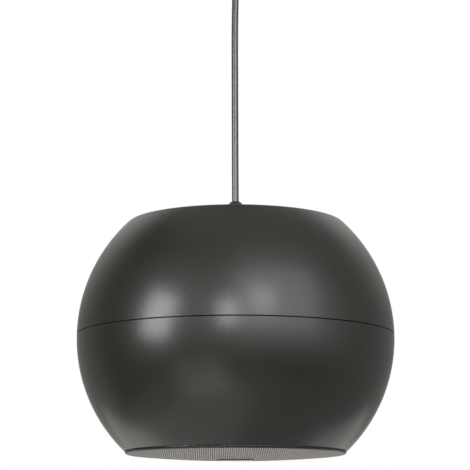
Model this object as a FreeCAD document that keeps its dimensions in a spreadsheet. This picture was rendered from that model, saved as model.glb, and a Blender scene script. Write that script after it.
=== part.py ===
"""Pendant speaker: a truncated ball of two moulded shells that hangs by one cord from a ceiling canopy.

Lengths are millimetres, +Z is up. The origin is the middle of the ceiling face, where the
bracket is bolted on, and the whole speaker hangs below it.
"""
import FreeCAD, Part
import math
import os
import Sketcher
from FreeCAD import Vector

os.makedirs("parts", exist_ok=True)
doc = FreeCAD.newDocument("PendantSpeaker")
dim = doc.addObject("Spreadsheet::Sheet", "Dim")

SIZES = {
    # Hanging length, from the ceiling to the widest line of the ball
    "drop": 390.0,
    # Moulded shells
    "body_radius": 155.0,
    "upper_arc": 155.0,
    "wall": 3.0,
    "top_height": 113.7,
    "edge_round": 5.2,
    "rim_depth": 110.0,
    "rim_radius": 108.0,
    "seam_height": 2.5,
    "seam_gap": 0.8,
    "tongue_height": 6.0,
    "tongue_wall": 1.8,
    "tongue_play": 0.2,
    "tongue_root": 7.0,
    # Lower rim: the spigot that carries the grille and the ledge that carries the baffle
    "spigot_height": 1.2,
    "spigot_wall": 2.5,
    "ledge_rise": 12.0,
    "ledge_width": 7.5,
    "ledge_thickness": 4.0,
    "boss_radius": 4.2,
    "boss_height": 9.0,
    # Grille
    "grille_inset": 0.7,
    "grille_sheet": 1.0,
    "grille_play": 0.3,
    "grille_rim": 2.8,
    "grille_round": 2.4,
    "grille_sag": 4.9,
    "grille_hole": 4.0,
    "grille_pitch": 19.4,
    "grille_rows": 5.0,
    "grille_row_step": 6.0,
    # Badge plate under the middle of the grille
    "badge_length": 35.0,
    "badge_width": 9.5,
    "badge_thickness": 1.2,
    "badge_round": 2.0,
    "badge_turn": 10.0,
    # Baffle
    "gasket_thickness": 1.0,
    "baffle_thickness": 5.0,
    "baffle_play": 0.4,
    "baffle_screw_circle": 99.6,
    "baffle_screw_count": 6.0,
    "baffle_screw_angle": 30.0,
    "baffle_rib_radius": 90.0,
    "baffle_rib_wall": 2.0,
    "baffle_rib_height": 5.0,
    # Self-tapping screws of the baffle and the woofer
    "screw_radius": 1.6,
    "screw_head": 3.2,
    "screw_head_height": 2.2,
    "screw_length": 12.0,
    "screw_recess": 1.3,
    "screw_recess_depth": 1.1,
    # Woofer basket
    "flange_radius": 83.0,
    "flange_thickness": 2.0,
    "cutout_radius": 71.0,
    "cutout_play": 0.5,
    "basket_wall": 1.6,
    "leg_wall": 2.1,
    "shelf_radius": 49.5,
    "shelf_level": 31.5,
    "shelf_width": 8.0,
    "seat_radius": 39.5,
    "seat_hole": 30.0,
    "seat_level": 46.0,
    "window_count": 6.0,
    "window_angle": 42.0,
    "window_inner": 52.0,
    "window_outer": 66.0,
    "woofer_screw_circle": 78.2,
    "woofer_screw_count": 4.0,
    "woofer_screw_angle": 45.0,
    # Woofer motor
    "pole_radius": 12.2,
    "coil_play": 0.4,
    "coil_wall": 0.7,
    "front_plate_radius": 37.5,
    "front_plate_thickness": 4.0,
    "magnet_radius": 42.0,
    "magnet_hole": 22.0,
    "magnet_height": 14.0,
    "back_plate_radius": 39.0,
    "back_plate_thickness": 5.0,
    # Woofer cone, surround and spider
    "coil_start": 23.5,
    "coil_length": 32.5,
    "cone_neck_level": 25.0,
    "cone_sheet": 0.8,
    "cone_radius": 60.0,
    "cone_edge_level": 2.0,
    "cone_land": 2.4,
    "cone_neck_wall": 1.1,
    "cone_arc": 110.0,
    "surround_sheet": 0.8,
    "surround_inner": 57.0,
    "surround_outer": 74.2,
    "roll_inner": 60.8,
    "roll_outer": 69.6,
    "roll_arc": 4.7,
    "spider_sheet": 0.6,
    "spider_land": 7.0,
    "spider_wave": 3.2,
    "spider_arc": 2.0,
    # Tag strip on the basket, where the leads are soldered
    "strip_place": 45.5,
    "strip_length": 14.0,
    "strip_width": 6.4,
    "strip_thickness": 1.4,
    "tag_spacing": 7.0,
    "tag_width": 2.8,
    "tag_sheet": 0.8,
    "tag_height": 7.0,
    "tag_foot": 2.0,
    # Tweeter on its post
    "post_radius": 4.0,
    "post_play": 0.1,
    "tweeter_radius": 17.0,
    "tweeter_front": 2.0,
    "tweeter_height": 13.0,
    "tweeter_plate": 2.0,
    "dome_radius": 12.5,
    "dome_rise": 4.5,
    "dome_sheet": 0.5,
    "dome_recess": 0.6,
    "guard_ring": 2.0,
    "guard_hub": 4.0,
    "guard_spoke": 1.6,
    "guard_spoke_count": 3.0,
    "guard_thickness": 1.2,
    "guard_gap": 0.6,
    # Tap selector behind the grille
    "selector_circle": 89.2,
    "selector_body_radius": 6.4,
    "selector_body_height": 9.0,
    "selector_lid": 1.0,
    "selector_shaft": 3.0,
    "selector_play": 0.3,
    "knob_radius": 5.0,
    "knob_height": 3.6,
    "knob_round": 0.6,
    "knob_slot": 1.4,
    "knob_slot_length": 7.5,
    "knob_slot_depth": 1.6,
    # Cord and its gland on the flat top
    "cord_radius": 3.4,
    "cord_tail": 2.0,
    "gland_thread": 8.0,
    "gland_bore": 4.2,
    "gland_hole_play": 0.3,
    "gland_tail": 1.5,
    "washer_radius": 11.5,
    "washer_thickness": 1.2,
    "gland_flats": 20.0,
    "gland_flange": 5.0,
    "nut_flats": 19.0,
    "nut_play": 0.4,
    "nut_hex_height": 9.0,
    "nut_shoulder": 9.0,
    "nut_mouth": 4.4,
    "nut_dome_arc": 10.7,
    "nut_lip": 2.4,
    "nut_roof": 3.2,
    "gland_top": 22.3,
    "nut_wall": 1.6,
    "nut_hole": 3.9,
    "seal_wall": 2.6,
    "seal_chamfer": 0.8,
    "seal_floor": 1.0,
    "neck_height": 7.2,
    "lock_flats": 22.0,
    "lock_height": 5.0,
    "thread_play": 0.05,
    # Steel plate and cord clamp inside the top
    "plate_radius": 62.0,
    "plate_thickness": 2.5,
    "plate_screw_circle": 54.0,
    "plate_screw_count": 3.0,
    "plate_screw_angle": 30.0,
    "plate_screw_washer": 5.7,
    "plate_boss": 4.5,
    "clamp_width": 24.0,
    "clamp_sheet": 2.0,
    "clamp_foot": 12.0,
    "clamp_reach": 14.0,
    "clamp_drop": 14.0,
    "clamp_grip": 16.0,
    "saddle_thickness": 6.0,
    "saddle_height": 9.0,
    "saddle_play": 0.003,
    "saddle_step": 1.0,
    "clamp_screw_spread": 16.0,
    # Transformer, terminal block and crossover board under the plate
    "core_width": 41.0,
    "core_height": 34.0,
    "core_stack": 17.0,
    "core_leg": 6.8,
    "coil_gap": 0.2,
    "winding_bulge": 7.0,
    "strap_sheet": 1.0,
    "strap_width": 12.0,
    "strap_foot": 7.0,
    "transformer_place": 37.0,
    "terminal_place": 36.0,
    "terminal_length": 46.0,
    "terminal_width": 18.0,
    "terminal_height": 14.0,
    "terminal_pitch": 11.0,
    "terminal_poles": 4.0,
    "terminal_well": 3.0,
    "terminal_entry": 2.1,
    "terminal_entry_depth": 4.6,
    "board_place": 39.0,
    "board_length": 38.0,
    "board_width": 30.0,
    "board_thickness": 1.6,
    "standoff_height": 6.0,
    "standoff_radius": 2.6,
    "inductor_radius": 11.0,
    "inductor_hole": 5.0,
    "inductor_height": 12.0,
    "inductor_place": 7.5,
    "capacitor_radius": 5.0,
    "capacitor_length": 18.0,
    "capacitor_place": 12.0,
    # Wadding inside the upper shell
    "wadding_thickness": 12.0,
    "wadding_play": 0.3,
    "wadding_low": 14.0,
    "wadding_high": 88.0,
    # Ceiling canopy, bracket and cord grip
    "canopy_radius": 45.0,
    "canopy_depth": 29.0,
    "canopy_wall": 1.5,
    "canopy_round": 5.0,
    "bracket_width": 18.0,
    "bracket_sheet": 2.0,
    "bracket_leg": 14.0,
    "bracket_play": 0.3,
    "bracket_bolt": 2.6,
    "bracket_bolt_spacing": 54.0,
    "side_screw_depth": 8.5,
    "side_screw_radius": 1.5,
    "side_head": 2.8,
    "side_head_height": 1.8,
    "side_screw_length": 7.0,
    "grip_radius": 7.0,
    "grip_flange": 10.5,
    "grip_flange_height": 2.5,
    "grip_height": 12.0,
    "grip_chamfer": 1.0,
    "collar_radius": 8.0,
    "collar_height": 8.0,
}
for row, (name, number) in enumerate(SIZES.items(), 1):
    dim.set(f"A{row}", name)
    dim.set(f"B{row}", str(number))
    dim.setAlias(f"B{row}", name)
doc.recompute()

sub_parts = []


def size(text):
    """Number that an expression over the sheet gives now."""
    return float(dim.evalExpression(text))


def new_body(name, level="0", x="0", y="0"):
    """Empty body whose local origin is placed by expressions."""
    body = doc.addObject("PartDesign::Body", name)
    body.setExpression("Placement.Base.x", x)
    body.setExpression("Placement.Base.y", y)
    body.setExpression("Placement.Base.z", level)
    return body


def new_piece(label, level="0", x="0", y="0"):
    """Body of a sub-part, which the label names."""
    body = new_body(label, level, x, y)
    body.Label = label
    sub_parts.append(body)
    return body


def gather(label, bodies):
    """One sub-part made of several separate solids, such as a set of like screws."""
    group = doc.addObject("Part::Compound", label)
    group.Label = label
    group.Links = bodies
    sub_parts.append(group)


def origin_feature(body, role):
    """Plane or axis of the body's own origin, by its role."""
    return next(item for item in body.Origin.OriginFeatures if item.Role == role)


def new_sketch(body, name, role, offset="0"):
    """Sketch on one of the body's origin planes, moved along the plane's normal."""
    sketch = body.newObject("Sketcher::SketchObject", name)
    sketch.AttachmentSupport = [(origin_feature(body, role), "")]
    sketch.MapMode = "FlatFace"
    sketch.setExpression("AttachmentOffset.Base.z", offset)
    return sketch


def bind(sketch, constraint, text):
    """Adds a constraint and ties its number to an expression."""
    index = sketch.addConstraint(constraint)
    sketch.setExpression(f"Constraints[{index}]", text)


def arc_between(start, end, radius, side):
    """Arc of less than half a turn; side is where the centre lies from start towards end."""
    turn = 1 if side == "left" else -1
    along = end - start
    across = Vector(-along.y, along.x, 0).normalize()
    height = math.sqrt(max(radius ** 2 - along.Length ** 2 / 4, 0))
    centre = (start + end) / 2 + across * height * turn
    first = math.atan2(start.y - centre.y, start.x - centre.x)
    last = math.atan2(end.y - centre.y, end.x - centre.x)
    circle = Part.Circle(centre, Vector(0, 0, 1), radius)
    return Part.ArcOfCircle(circle, first, last) if turn > 0 else Part.ArcOfCircle(circle, last, first)


def add_outline(sketch, corners):
    """Closed outline; a corner is (x, y) or (x, y, radius, side) when an arc leaves it."""
    places = [Vector(size(corner[0]), size(corner[1]), 0) for corner in corners]
    edges = []
    for number, corner in enumerate(corners):
        start, end = places[number], places[(number + 1) % len(places)]
        if len(corner) == 4:
            curve = arc_between(start, end, size(corner[2]), corner[3])
            heads = (1, 2) if corner[3] == "left" else (2, 1)
        else:
            curve = Part.LineSegment(start, end)
            heads = (1, 2)
        edges.append((sketch.addGeometry(curve), heads))
    for number, (edge, heads) in enumerate(edges):
        following, following_heads = edges[(number + 1) % len(edges)]
        sketch.addConstraint(
            Sketcher.Constraint("Coincident", edge, heads[1], following, following_heads[0]))
    for (edge, heads), corner, place in zip(edges, corners, places):
        bind(sketch, Sketcher.Constraint("DistanceX", -1, 1, edge, heads[0], place.x), corner[0])
        bind(sketch, Sketcher.Constraint("DistanceY", -1, 1, edge, heads[0], place.y), corner[1])
        if len(corner) == 4:
            bind(sketch, Sketcher.Constraint("Radius", edge, size(corner[2])), corner[2])


def add_circle(sketch, x, y, radius):
    """Circle whose centre and radius are expressions."""
    centre = Vector(size(x), size(y), 0)
    edge = sketch.addGeometry(Part.Circle(centre, Vector(0, 0, 1), size(radius)))
    bind(sketch, Sketcher.Constraint("DistanceX", -1, 1, edge, 3, centre.x), x)
    bind(sketch, Sketcher.Constraint("DistanceY", -1, 1, edge, 3, centre.y), y)
    bind(sketch, Sketcher.Constraint("Radius", edge, size(radius)), radius)


def rectangle(x, y, width, height):
    """Corners of a rectangle about its middle."""
    left, right = f"{x} - {width} / 2", f"{x} + {width} / 2"
    low, high = f"{y} - {height} / 2", f"{y} + {height} / 2"
    return [(left, low), (right, low), (right, high), (left, high)]


def hexagon(flats):
    """Corners of a hexagon with two flats parallel to X."""
    reach = f"{flats} / 2 / cos(30)"
    return [(f"{reach} * cos({60 * number})", f"{reach} * sin({60 * number})") for number in range(6)]


def turned(body, name, corners):
    """Ring or disc turned about the body's own vertical axis."""
    sketch = new_sketch(body, f"{name}Profile", "XZ_Plane")
    add_outline(sketch, corners)
    turn = body.newObject("PartDesign::Revolution", name)
    turn.Profile = sketch
    turn.ReferenceAxis = (sketch, ["V_Axis"])
    turn.Angle = 360
    return turn


def drawn(body, name, outlines, circles, start, role="XY_Plane"):
    """Sketch with closed outlines and circles at a level of the body."""
    sketch = new_sketch(body, f"{name}Profile", role, start)
    for corners in outlines:
        add_outline(sketch, corners)
    for x, y, radius in circles:
        add_circle(sketch, x, y, radius)
    return sketch


def raised(body, name, height, outlines=(), circles=(), start="0", role="XY_Plane", middle=False):
    """Pad from a level of the body along the plane's normal, or to both sides of the plane."""
    pad = body.newObject("PartDesign::Pad", name)
    pad.Profile = drawn(body, name, outlines, circles, start, role)
    pad.setExpression("Length", height)
    pad.Midplane = middle
    return pad


def pocketed(body, name, depth, outlines=(), circles=(), start="0", upward=True, role="XY_Plane",
             middle=False):
    """Pocket from a level of the body, along the plane's normal when upward is true."""
    doc.recompute()
    before = body.Shape.Volume
    pocket = body.newObject("PartDesign::Pocket", name)
    pocket.Profile = drawn(body, name, outlines, circles, start, role)
    pocket.setExpression("Length", depth)
    pocket.Reversed = upward
    pocket.Midplane = middle
    doc.recompute()
    if not body.Shape.Volume < before - 1e-6:
        raise RuntimeError(f"{body.Label}: {name} cuts nothing")
    return pocket


def around(body, name, feature, copies):
    """Repeats a feature about the body's vertical axis."""
    pattern = body.newObject("PartDesign::PolarPattern", name)
    pattern.Originals = [feature]
    pattern.Axis = (origin_feature(body, "Z_Axis"), [""])
    pattern.Angle = 360
    pattern.setExpression("Occurrences", copies)
    body.Tip = pattern
    return pattern


def on_circle(radius, number, copies, first="0"):
    """X and Y of one of several places spread evenly on a circle."""
    angle = f"({first} + 360 * {number} / {copies})"
    return f"{radius} * cos({angle})", f"{radius} * sin({angle})"


# Levels and radii that several pieces share
widest_level = "-Dim.drop"
upper_centre = "(Dim.body_radius - Dim.upper_arc)"
rim_inset = "(Dim.body_radius - Dim.rim_radius)"
lower_arc = f"(({rim_inset}^2 + Dim.rim_depth^2) / (2 * {rim_inset}))"
lower_centre = f"(Dim.body_radius - {lower_arc})"
seam_above = "(Dim.seam_height + Dim.seam_gap / 2)"
seam_below = "(Dim.seam_height - Dim.seam_gap / 2)"
inner_top = "(Dim.top_height - Dim.wall)"
grille_outer = "(Dim.rim_radius - Dim.grille_inset)"
spigot_radius = f"({grille_outer} - Dim.grille_sheet - Dim.grille_play)"
bore_radius = f"({spigot_radius} - Dim.spigot_wall)"
ledge_radius = f"({bore_radius} - Dim.ledge_width)"
ledge_level = "(-(Dim.rim_depth - Dim.ledge_rise))"
baffle_front = f"({ledge_level} - Dim.gasket_thickness - Dim.baffle_thickness)"
front_level = f"-Dim.drop + {baffle_front}"
top_level = "-Dim.drop + Dim.top_height"
plate_level = f"-Dim.drop + {inner_top} - Dim.plate_thickness"
coil_inner = "(Dim.pole_radius + Dim.coil_play)"
coil_outer = f"({coil_inner} + Dim.coil_wall)"
gap_radius = f"({coil_outer} + Dim.coil_play)"
magnet_level = "(Dim.seat_level + Dim.front_plate_thickness)"
back_level = f"({magnet_level} + Dim.magnet_height)"
motor_top = f"({back_level} + Dim.back_plate_thickness)"


def upper_radius(level, inset="0"):
    """Radius of the upper shell's curve at a level, set in square to the curve."""
    return f"({upper_centre} + sqrt((Dim.upper_arc - {inset})^2 - ({level})^2))"


def lower_radius(level, inset="0"):
    """Radius of the lower shell's curve at a level, set in square to the curve."""
    return f"({lower_centre} + sqrt(({lower_arc} - {inset})^2 - ({level})^2))"


def make_upper_shell():
    """Dome above the seam: a rounded edge, the flat top and three bosses for the steel plate."""
    body = new_piece("upper_shell", widest_level)
    round_level = "(Dim.top_height - Dim.edge_round)"
    round_reach = f"sqrt((Dim.upper_arc - Dim.edge_round)^2 - {round_level}^2)"
    stretch = "Dim.upper_arc / (Dim.upper_arc - Dim.edge_round)"
    gland_hole = "(Dim.gland_thread + Dim.gland_hole_play)"
    turned(body, "Dome", [
        (upper_radius(seam_above), seam_above, "Dim.upper_arc", "left"),
        (f"{upper_centre} + {round_reach} * {stretch}", f"{round_level} * {stretch}",
         "Dim.edge_round", "left"),
        (f"{upper_centre} + {round_reach}", "Dim.top_height"),
        (gland_hole, "Dim.top_height"),
        (gland_hole, inner_top),
        (upper_radius(inner_top, "Dim.wall"), inner_top, "Dim.upper_arc - Dim.wall", "right"),
        (upper_radius(seam_above, "Dim.wall"), seam_above),
    ])
    place = on_circle("Dim.plate_screw_circle", 0, "Dim.plate_screw_count",
                      "Dim.plate_screw_angle")
    boss = raised(body, "PlateBoss", "Dim.plate_thickness", circles=[(*place, "Dim.plate_boss")],
                  start=f"{inner_top} - Dim.plate_thickness")
    around(body, "PlateBosses", boss, "Dim.plate_screw_count")
    hole = pocketed(body, "PlateHole", "Dim.plate_thickness + Dim.wall / 2",
                    circles=[(*place, "Dim.screw_radius")], start=f"{inner_top} - Dim.plate_thickness")
    around(body, "PlateHoles", hole, "Dim.plate_screw_count")


def make_lower_shell():
    """Bowl below the seam: the tongue inside the upper shell, the baffle's ledge and bosses."""
    body = new_piece("lower_shell", widest_level)
    tongue_top = "(Dim.seam_height + Dim.tongue_height)"
    tongue_outer = f"({upper_radius(tongue_top, 'Dim.wall')} - Dim.tongue_play)"
    tongue_inner = f"({tongue_outer} - Dim.tongue_wall)"
    ledge_top = f"({ledge_level} + Dim.ledge_thickness)"
    spigot_level = "(-Dim.rim_depth - Dim.spigot_height)"
    turned(body, "Bowl", [
        (lower_radius(seam_below), seam_below, lower_arc, "right"),
        ("Dim.rim_radius", "-Dim.rim_depth"),
        (spigot_radius, "-Dim.rim_depth"),
        (spigot_radius, spigot_level),
        (bore_radius, spigot_level),
        (bore_radius, ledge_level),
        (ledge_radius, ledge_level),
        (ledge_radius, ledge_top),
        (lower_radius(ledge_top, "Dim.wall"), ledge_top, f"{lower_arc} - Dim.wall", "left"),
        (lower_radius("Dim.tongue_root", "Dim.wall"), "-Dim.tongue_root"),
        (tongue_inner, "-Dim.tongue_root + Dim.tongue_wall"),
        (tongue_inner, tongue_top),
        (tongue_outer, tongue_top),
        (tongue_outer, seam_below),
    ])
    place = on_circle("Dim.baffle_screw_circle", 0, "Dim.baffle_screw_count",
                      "Dim.baffle_screw_angle")
    boss = raised(body, "BaffleBoss", "Dim.boss_height", circles=[(*place, "Dim.boss_radius")],
                  start=ledge_top)
    around(body, "BaffleBosses", boss, "Dim.baffle_screw_count")
    hole = pocketed(body, "BaffleHole", "Dim.ledge_thickness + Dim.boss_height - Dim.wall",
                    circles=[(*place, "Dim.screw_radius")], start=ledge_level)
    around(body, "BaffleHoles", hole, "Dim.baffle_screw_count")


def make_grille():
    """Domed steel sheet with rows of holes; its turned rim presses over the lower shell's spigot."""
    body = new_piece("grille", f"{widest_level} - Dim.rim_depth - Dim.grille_play")
    flat_radius = f"({grille_outer} - Dim.grille_round)"
    dome_arc = f"(({flat_radius}^2 + Dim.grille_sag^2) / (2 * Dim.grille_sag))"
    middle_level = "(-Dim.grille_rim - Dim.grille_sag)"
    turned(body, "Dish", [
        (f"{grille_outer} - Dim.grille_sheet", "0"),
        (f"{grille_outer} - Dim.grille_sheet", "-Dim.grille_rim + Dim.grille_round",
         "Dim.grille_round - Dim.grille_sheet", "right"),
        (flat_radius, "-Dim.grille_rim + Dim.grille_sheet", dome_arc, "right"),
        ("0", f"{middle_level} + Dim.grille_sheet"),
        ("0", middle_level, dome_arc, "left"),
        (flat_radius, "-Dim.grille_rim", "Dim.grille_round", "left"),
        (grille_outer, "-Dim.grille_rim + Dim.grille_round"),
        (grille_outer, "0"),
    ])
    for row in range(1, int(SIZES["grille_rows"]) + 1):
        hole = pocketed(body, f"Hole{row}", "Dim.grille_rim + Dim.grille_sag", start=middle_level,
                        circles=[(f"Dim.grille_pitch * {row}", "0", "Dim.grille_hole")])
        around(body, f"Row{row}", hole, f"Dim.grille_row_step * {row}")


def make_badge():
    """Blank plate with rounded corners, a little askew, flat against the middle of the grille."""
    level = (f"{widest_level} - Dim.rim_depth - Dim.grille_play - Dim.grille_rim - Dim.grille_sag"
             " - Dim.badge_thickness")
    body = new_piece("badge_plate", level)
    body.setExpression("Placement.Rotation.Angle", "-Dim.badge_turn")
    half, side, bend = "Dim.badge_length / 2", "Dim.badge_width / 2", "Dim.badge_round"
    raised(body, "Plate", "Dim.badge_thickness", outlines=[[
        (f"-{half} + {bend}", f"-{side}"),
        (f"{half} - {bend}", f"-{side}", bend, "left"),
        (half, f"-{side} + {bend}"),
        (half, f"{side} - {bend}", bend, "left"),
        (f"{half} - {bend}", side),
        (f"-{half} + {bend}", side, bend, "left"),
        (f"-{half}", f"{side} - {bend}"),
        (f"-{half}", f"-{side} + {bend}", bend, "left"),
    ]])


def make_baffle():
    """Gasket and moulded plate in the bore of the lower shell, cut out for the woofer."""
    outer = f"({bore_radius} - Dim.baffle_play)"
    gasket = new_piece("baffle_gasket", f"{front_level} + Dim.baffle_thickness")
    raised(gasket, "Ring", "Dim.gasket_thickness", circles=[
        ("0", "0", outer),
        ("0", "0", ledge_radius),
        *[(*on_circle("Dim.baffle_screw_circle", number, "Dim.baffle_screw_count",
                      "Dim.baffle_screw_angle"),
           "Dim.screw_radius + Dim.baffle_play") for number in range(int(SIZES["baffle_screw_count"]))],
    ])
    body = new_piece("baffle", front_level)
    rebate = "(Dim.flange_radius + Dim.baffle_play)"
    turned(body, "Plate", [
        ("Dim.cutout_radius", "Dim.flange_thickness"),
        (rebate, "Dim.flange_thickness"),
        (rebate, "0"),
        (outer, "0"),
        (outer, "Dim.baffle_thickness"),
        ("Dim.baffle_rib_radius + Dim.baffle_rib_wall", "Dim.baffle_thickness"),
        ("Dim.baffle_rib_radius + Dim.baffle_rib_wall",
         "Dim.baffle_thickness + Dim.baffle_rib_height"),
        ("Dim.baffle_rib_radius", "Dim.baffle_thickness + Dim.baffle_rib_height"),
        ("Dim.baffle_rib_radius", "Dim.baffle_thickness"),
        ("Dim.cutout_radius", "Dim.baffle_thickness"),
    ])
    place = on_circle("Dim.woofer_screw_circle", 0, "Dim.woofer_screw_count",
                      "Dim.woofer_screw_angle")
    boss = raised(body, "WooferBoss", "Dim.boss_height", circles=[(*place, "Dim.boss_radius")],
                  start="Dim.baffle_thickness")
    around(body, "WooferBosses", boss, "Dim.woofer_screw_count")
    hole = pocketed(body, "WooferHole", "Dim.baffle_thickness + Dim.boss_height",
                    circles=[(*place, "Dim.screw_radius")])
    around(body, "WooferHoles", hole, "Dim.woofer_screw_count")
    place = on_circle("Dim.baffle_screw_circle", 0, "Dim.baffle_screw_count",
                      "Dim.baffle_screw_angle")
    hole = pocketed(body, "RimHole", "Dim.baffle_thickness",
                    circles=[(*place, "Dim.screw_radius + Dim.baffle_play")])
    around(body, "RimHoles", hole, "Dim.baffle_screw_count")
    pocketed(body, "SelectorHole", "Dim.baffle_thickness + Dim.baffle_rib_height",
             circles=[("0", "-Dim.selector_circle", "Dim.selector_body_radius")])


def make_screw(name, level, x, y):
    """Self-tapping screw that points up, with a round head and a hexagonal recess."""
    body = new_body(name, level, x, y)
    head_arc = "((Dim.screw_head^2 + Dim.screw_head_height^2) / (2 * Dim.screw_head_height))"
    turned(body, "Shank", [
        ("0", "-Dim.screw_head_height", head_arc, "left"),
        ("Dim.screw_head", "0"),
        ("Dim.screw_radius", "0"),
        ("Dim.screw_radius", "Dim.screw_length - Dim.screw_radius"),
        ("0", "Dim.screw_length"),
    ])
    pocketed(body, "Recess", "Dim.screw_recess_depth", outlines=[hexagon("2 * Dim.screw_recess")],
             start="-Dim.screw_head_height")
    return body


def make_rim_screws():
    """Screws that hold the baffle to the shell and the woofer to the baffle."""
    baffle_screws = []
    for number in range(int(SIZES["baffle_screw_count"])):
        x, y = on_circle("Dim.baffle_screw_circle", number, "Dim.baffle_screw_count",
                      "Dim.baffle_screw_angle")
        baffle_screws.append(make_screw(f"BaffleScrew{number + 1}", front_level, x, y))
    gather("baffle_screws", baffle_screws)
    woofer_screws = []
    for number in range(int(SIZES["woofer_screw_count"])):
        x, y = on_circle("Dim.woofer_screw_circle", number, "Dim.woofer_screw_count",
                      "Dim.woofer_screw_angle")
        woofer_screws.append(make_screw(f"WooferScrew{number + 1}", front_level, x, y))
    gather("woofer_screws", woofer_screws)


def make_basket():
    """Pressed basket: flange, slanted legs between six windows, spider shelf and motor seat."""
    body = new_piece("woofer_basket", front_level)
    wall = "Dim.basket_wall"
    shelf_inner = "(Dim.shelf_radius - Dim.shelf_width)"
    leg_outer = "(Dim.cutout_radius - Dim.cutout_play)"
    turned(body, "Frame", [
        ("Dim.flange_radius", "0"),
        ("Dim.flange_radius", "Dim.flange_thickness"),
        (leg_outer, "Dim.flange_thickness"),
        ("Dim.shelf_radius", "Dim.shelf_level"),
        (shelf_inner, "Dim.shelf_level"),
        ("Dim.seat_radius", "Dim.seat_level"),
        ("Dim.seat_hole", "Dim.seat_level"),
        ("Dim.seat_hole", f"Dim.seat_level - {wall}"),
        (f"Dim.seat_radius - {wall}", f"Dim.seat_level - {wall}"),
        (f"{shelf_inner} - {wall}", f"Dim.shelf_level - {wall}"),
        (f"Dim.shelf_radius - {wall}", f"Dim.shelf_level - {wall}"),
        (f"{leg_outer} - Dim.leg_wall", "0"),
    ])
    half = "Dim.window_angle / 2"
    window = pocketed(body, "Window", "Dim.shelf_level", outlines=[[
        (f"Dim.window_inner * cos({half})", f"-Dim.window_inner * sin({half})"),
        (f"Dim.window_outer * cos({half})", f"-Dim.window_outer * sin({half})",
         "Dim.window_outer", "left"),
        (f"Dim.window_outer * cos({half})", f"Dim.window_outer * sin({half})"),
        (f"Dim.window_inner * cos({half})", f"Dim.window_inner * sin({half})",
         "Dim.window_inner", "right"),
    ]])
    around(body, "Windows", window, "Dim.window_count")
    place = on_circle("Dim.woofer_screw_circle", 0, "Dim.woofer_screw_count",
                      "Dim.woofer_screw_angle")
    hole = pocketed(body, "FlangeHole", "Dim.flange_thickness",
                    circles=[(*place, "Dim.screw_radius + Dim.baffle_play")])
    around(body, "FlangeHoles", hole, "Dim.woofer_screw_count")


def make_motor():
    """Front plate, ferrite ring and back plate with the pole on the basket's seat."""
    front = new_piece("motor_front_plate", f"{front_level} + Dim.seat_level")
    raised(front, "Plate", "Dim.front_plate_thickness",
           circles=[("0", "0", "Dim.front_plate_radius"), ("0", "0", gap_radius)])
    magnet = new_piece("motor_magnet", f"{front_level} + {magnet_level}")
    raised(magnet, "Ring", "Dim.magnet_height",
           circles=[("0", "0", "Dim.magnet_radius"), ("0", "0", "Dim.magnet_hole")])
    back = new_piece("motor_back_plate", f"{front_level} + {back_level}")
    pole_drop = "(Dim.magnet_height + Dim.front_plate_thickness)"
    bore = "(Dim.post_radius + Dim.post_play)"
    turned(back, "PlateAndPole", [
        (bore, "Dim.back_plate_thickness"),
        (bore, f"-{pole_drop}"),
        ("Dim.pole_radius", f"-{pole_drop}"),
        ("Dim.pole_radius", "0"),
        ("Dim.back_plate_radius", "0"),
        ("Dim.back_plate_radius", "Dim.back_plate_thickness / 2"),
        ("Dim.back_plate_radius - Dim.back_plate_thickness / 2", "Dim.back_plate_thickness"),
    ])


def make_moving_parts():
    """Voice coil former and cone, which travel up and down together."""
    former = new_piece("voice_coil", f"{front_level} + Dim.coil_start")
    raised(former, "Tube", "Dim.coil_length",
           circles=[("0", "0", coil_outer), ("0", "0", coil_inner)])
    cone = new_piece("woofer_cone", front_level)
    sheet = "Dim.cone_sheet"
    turned(cone, "Paper", [
        (coil_outer, "Dim.cone_neck_level", "Dim.cone_arc", "left"),
        ("Dim.cone_radius - Dim.cone_land", "Dim.cone_edge_level"),
        ("Dim.cone_radius", "Dim.cone_edge_level"),
        ("Dim.cone_radius", f"Dim.cone_edge_level + {sheet}"),
        (f"Dim.cone_radius - Dim.cone_land + {sheet} / 2", f"Dim.cone_edge_level + {sheet}",
         f"Dim.cone_arc + {sheet}", "right"),
        (coil_outer, "Dim.cone_neck_level + Dim.cone_neck_wall"),
    ])


def make_surround():
    """Half-roll rubber edge from the cone's front to the flange's front."""
    body = new_piece("woofer_surround", front_level)
    sheet = "Dim.surround_sheet"
    lip_back = "Dim.cone_edge_level"
    lip_front = f"({lip_back} - {sheet})"
    turned(body, "Roll", [
        ("Dim.surround_outer", "0"),
        ("Dim.surround_outer", f"-{sheet}"),
        ("Dim.roll_outer", f"-{sheet}", "Dim.roll_arc", "right"),
        ("Dim.roll_inner", lip_front),
        ("Dim.surround_inner", lip_front),
        ("Dim.surround_inner", lip_back),
        (f"Dim.roll_inner + {sheet}", lip_back, f"Dim.roll_arc - {sheet}", "left"),
        (f"Dim.roll_outer - {sheet}", "0"),
    ])


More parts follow.
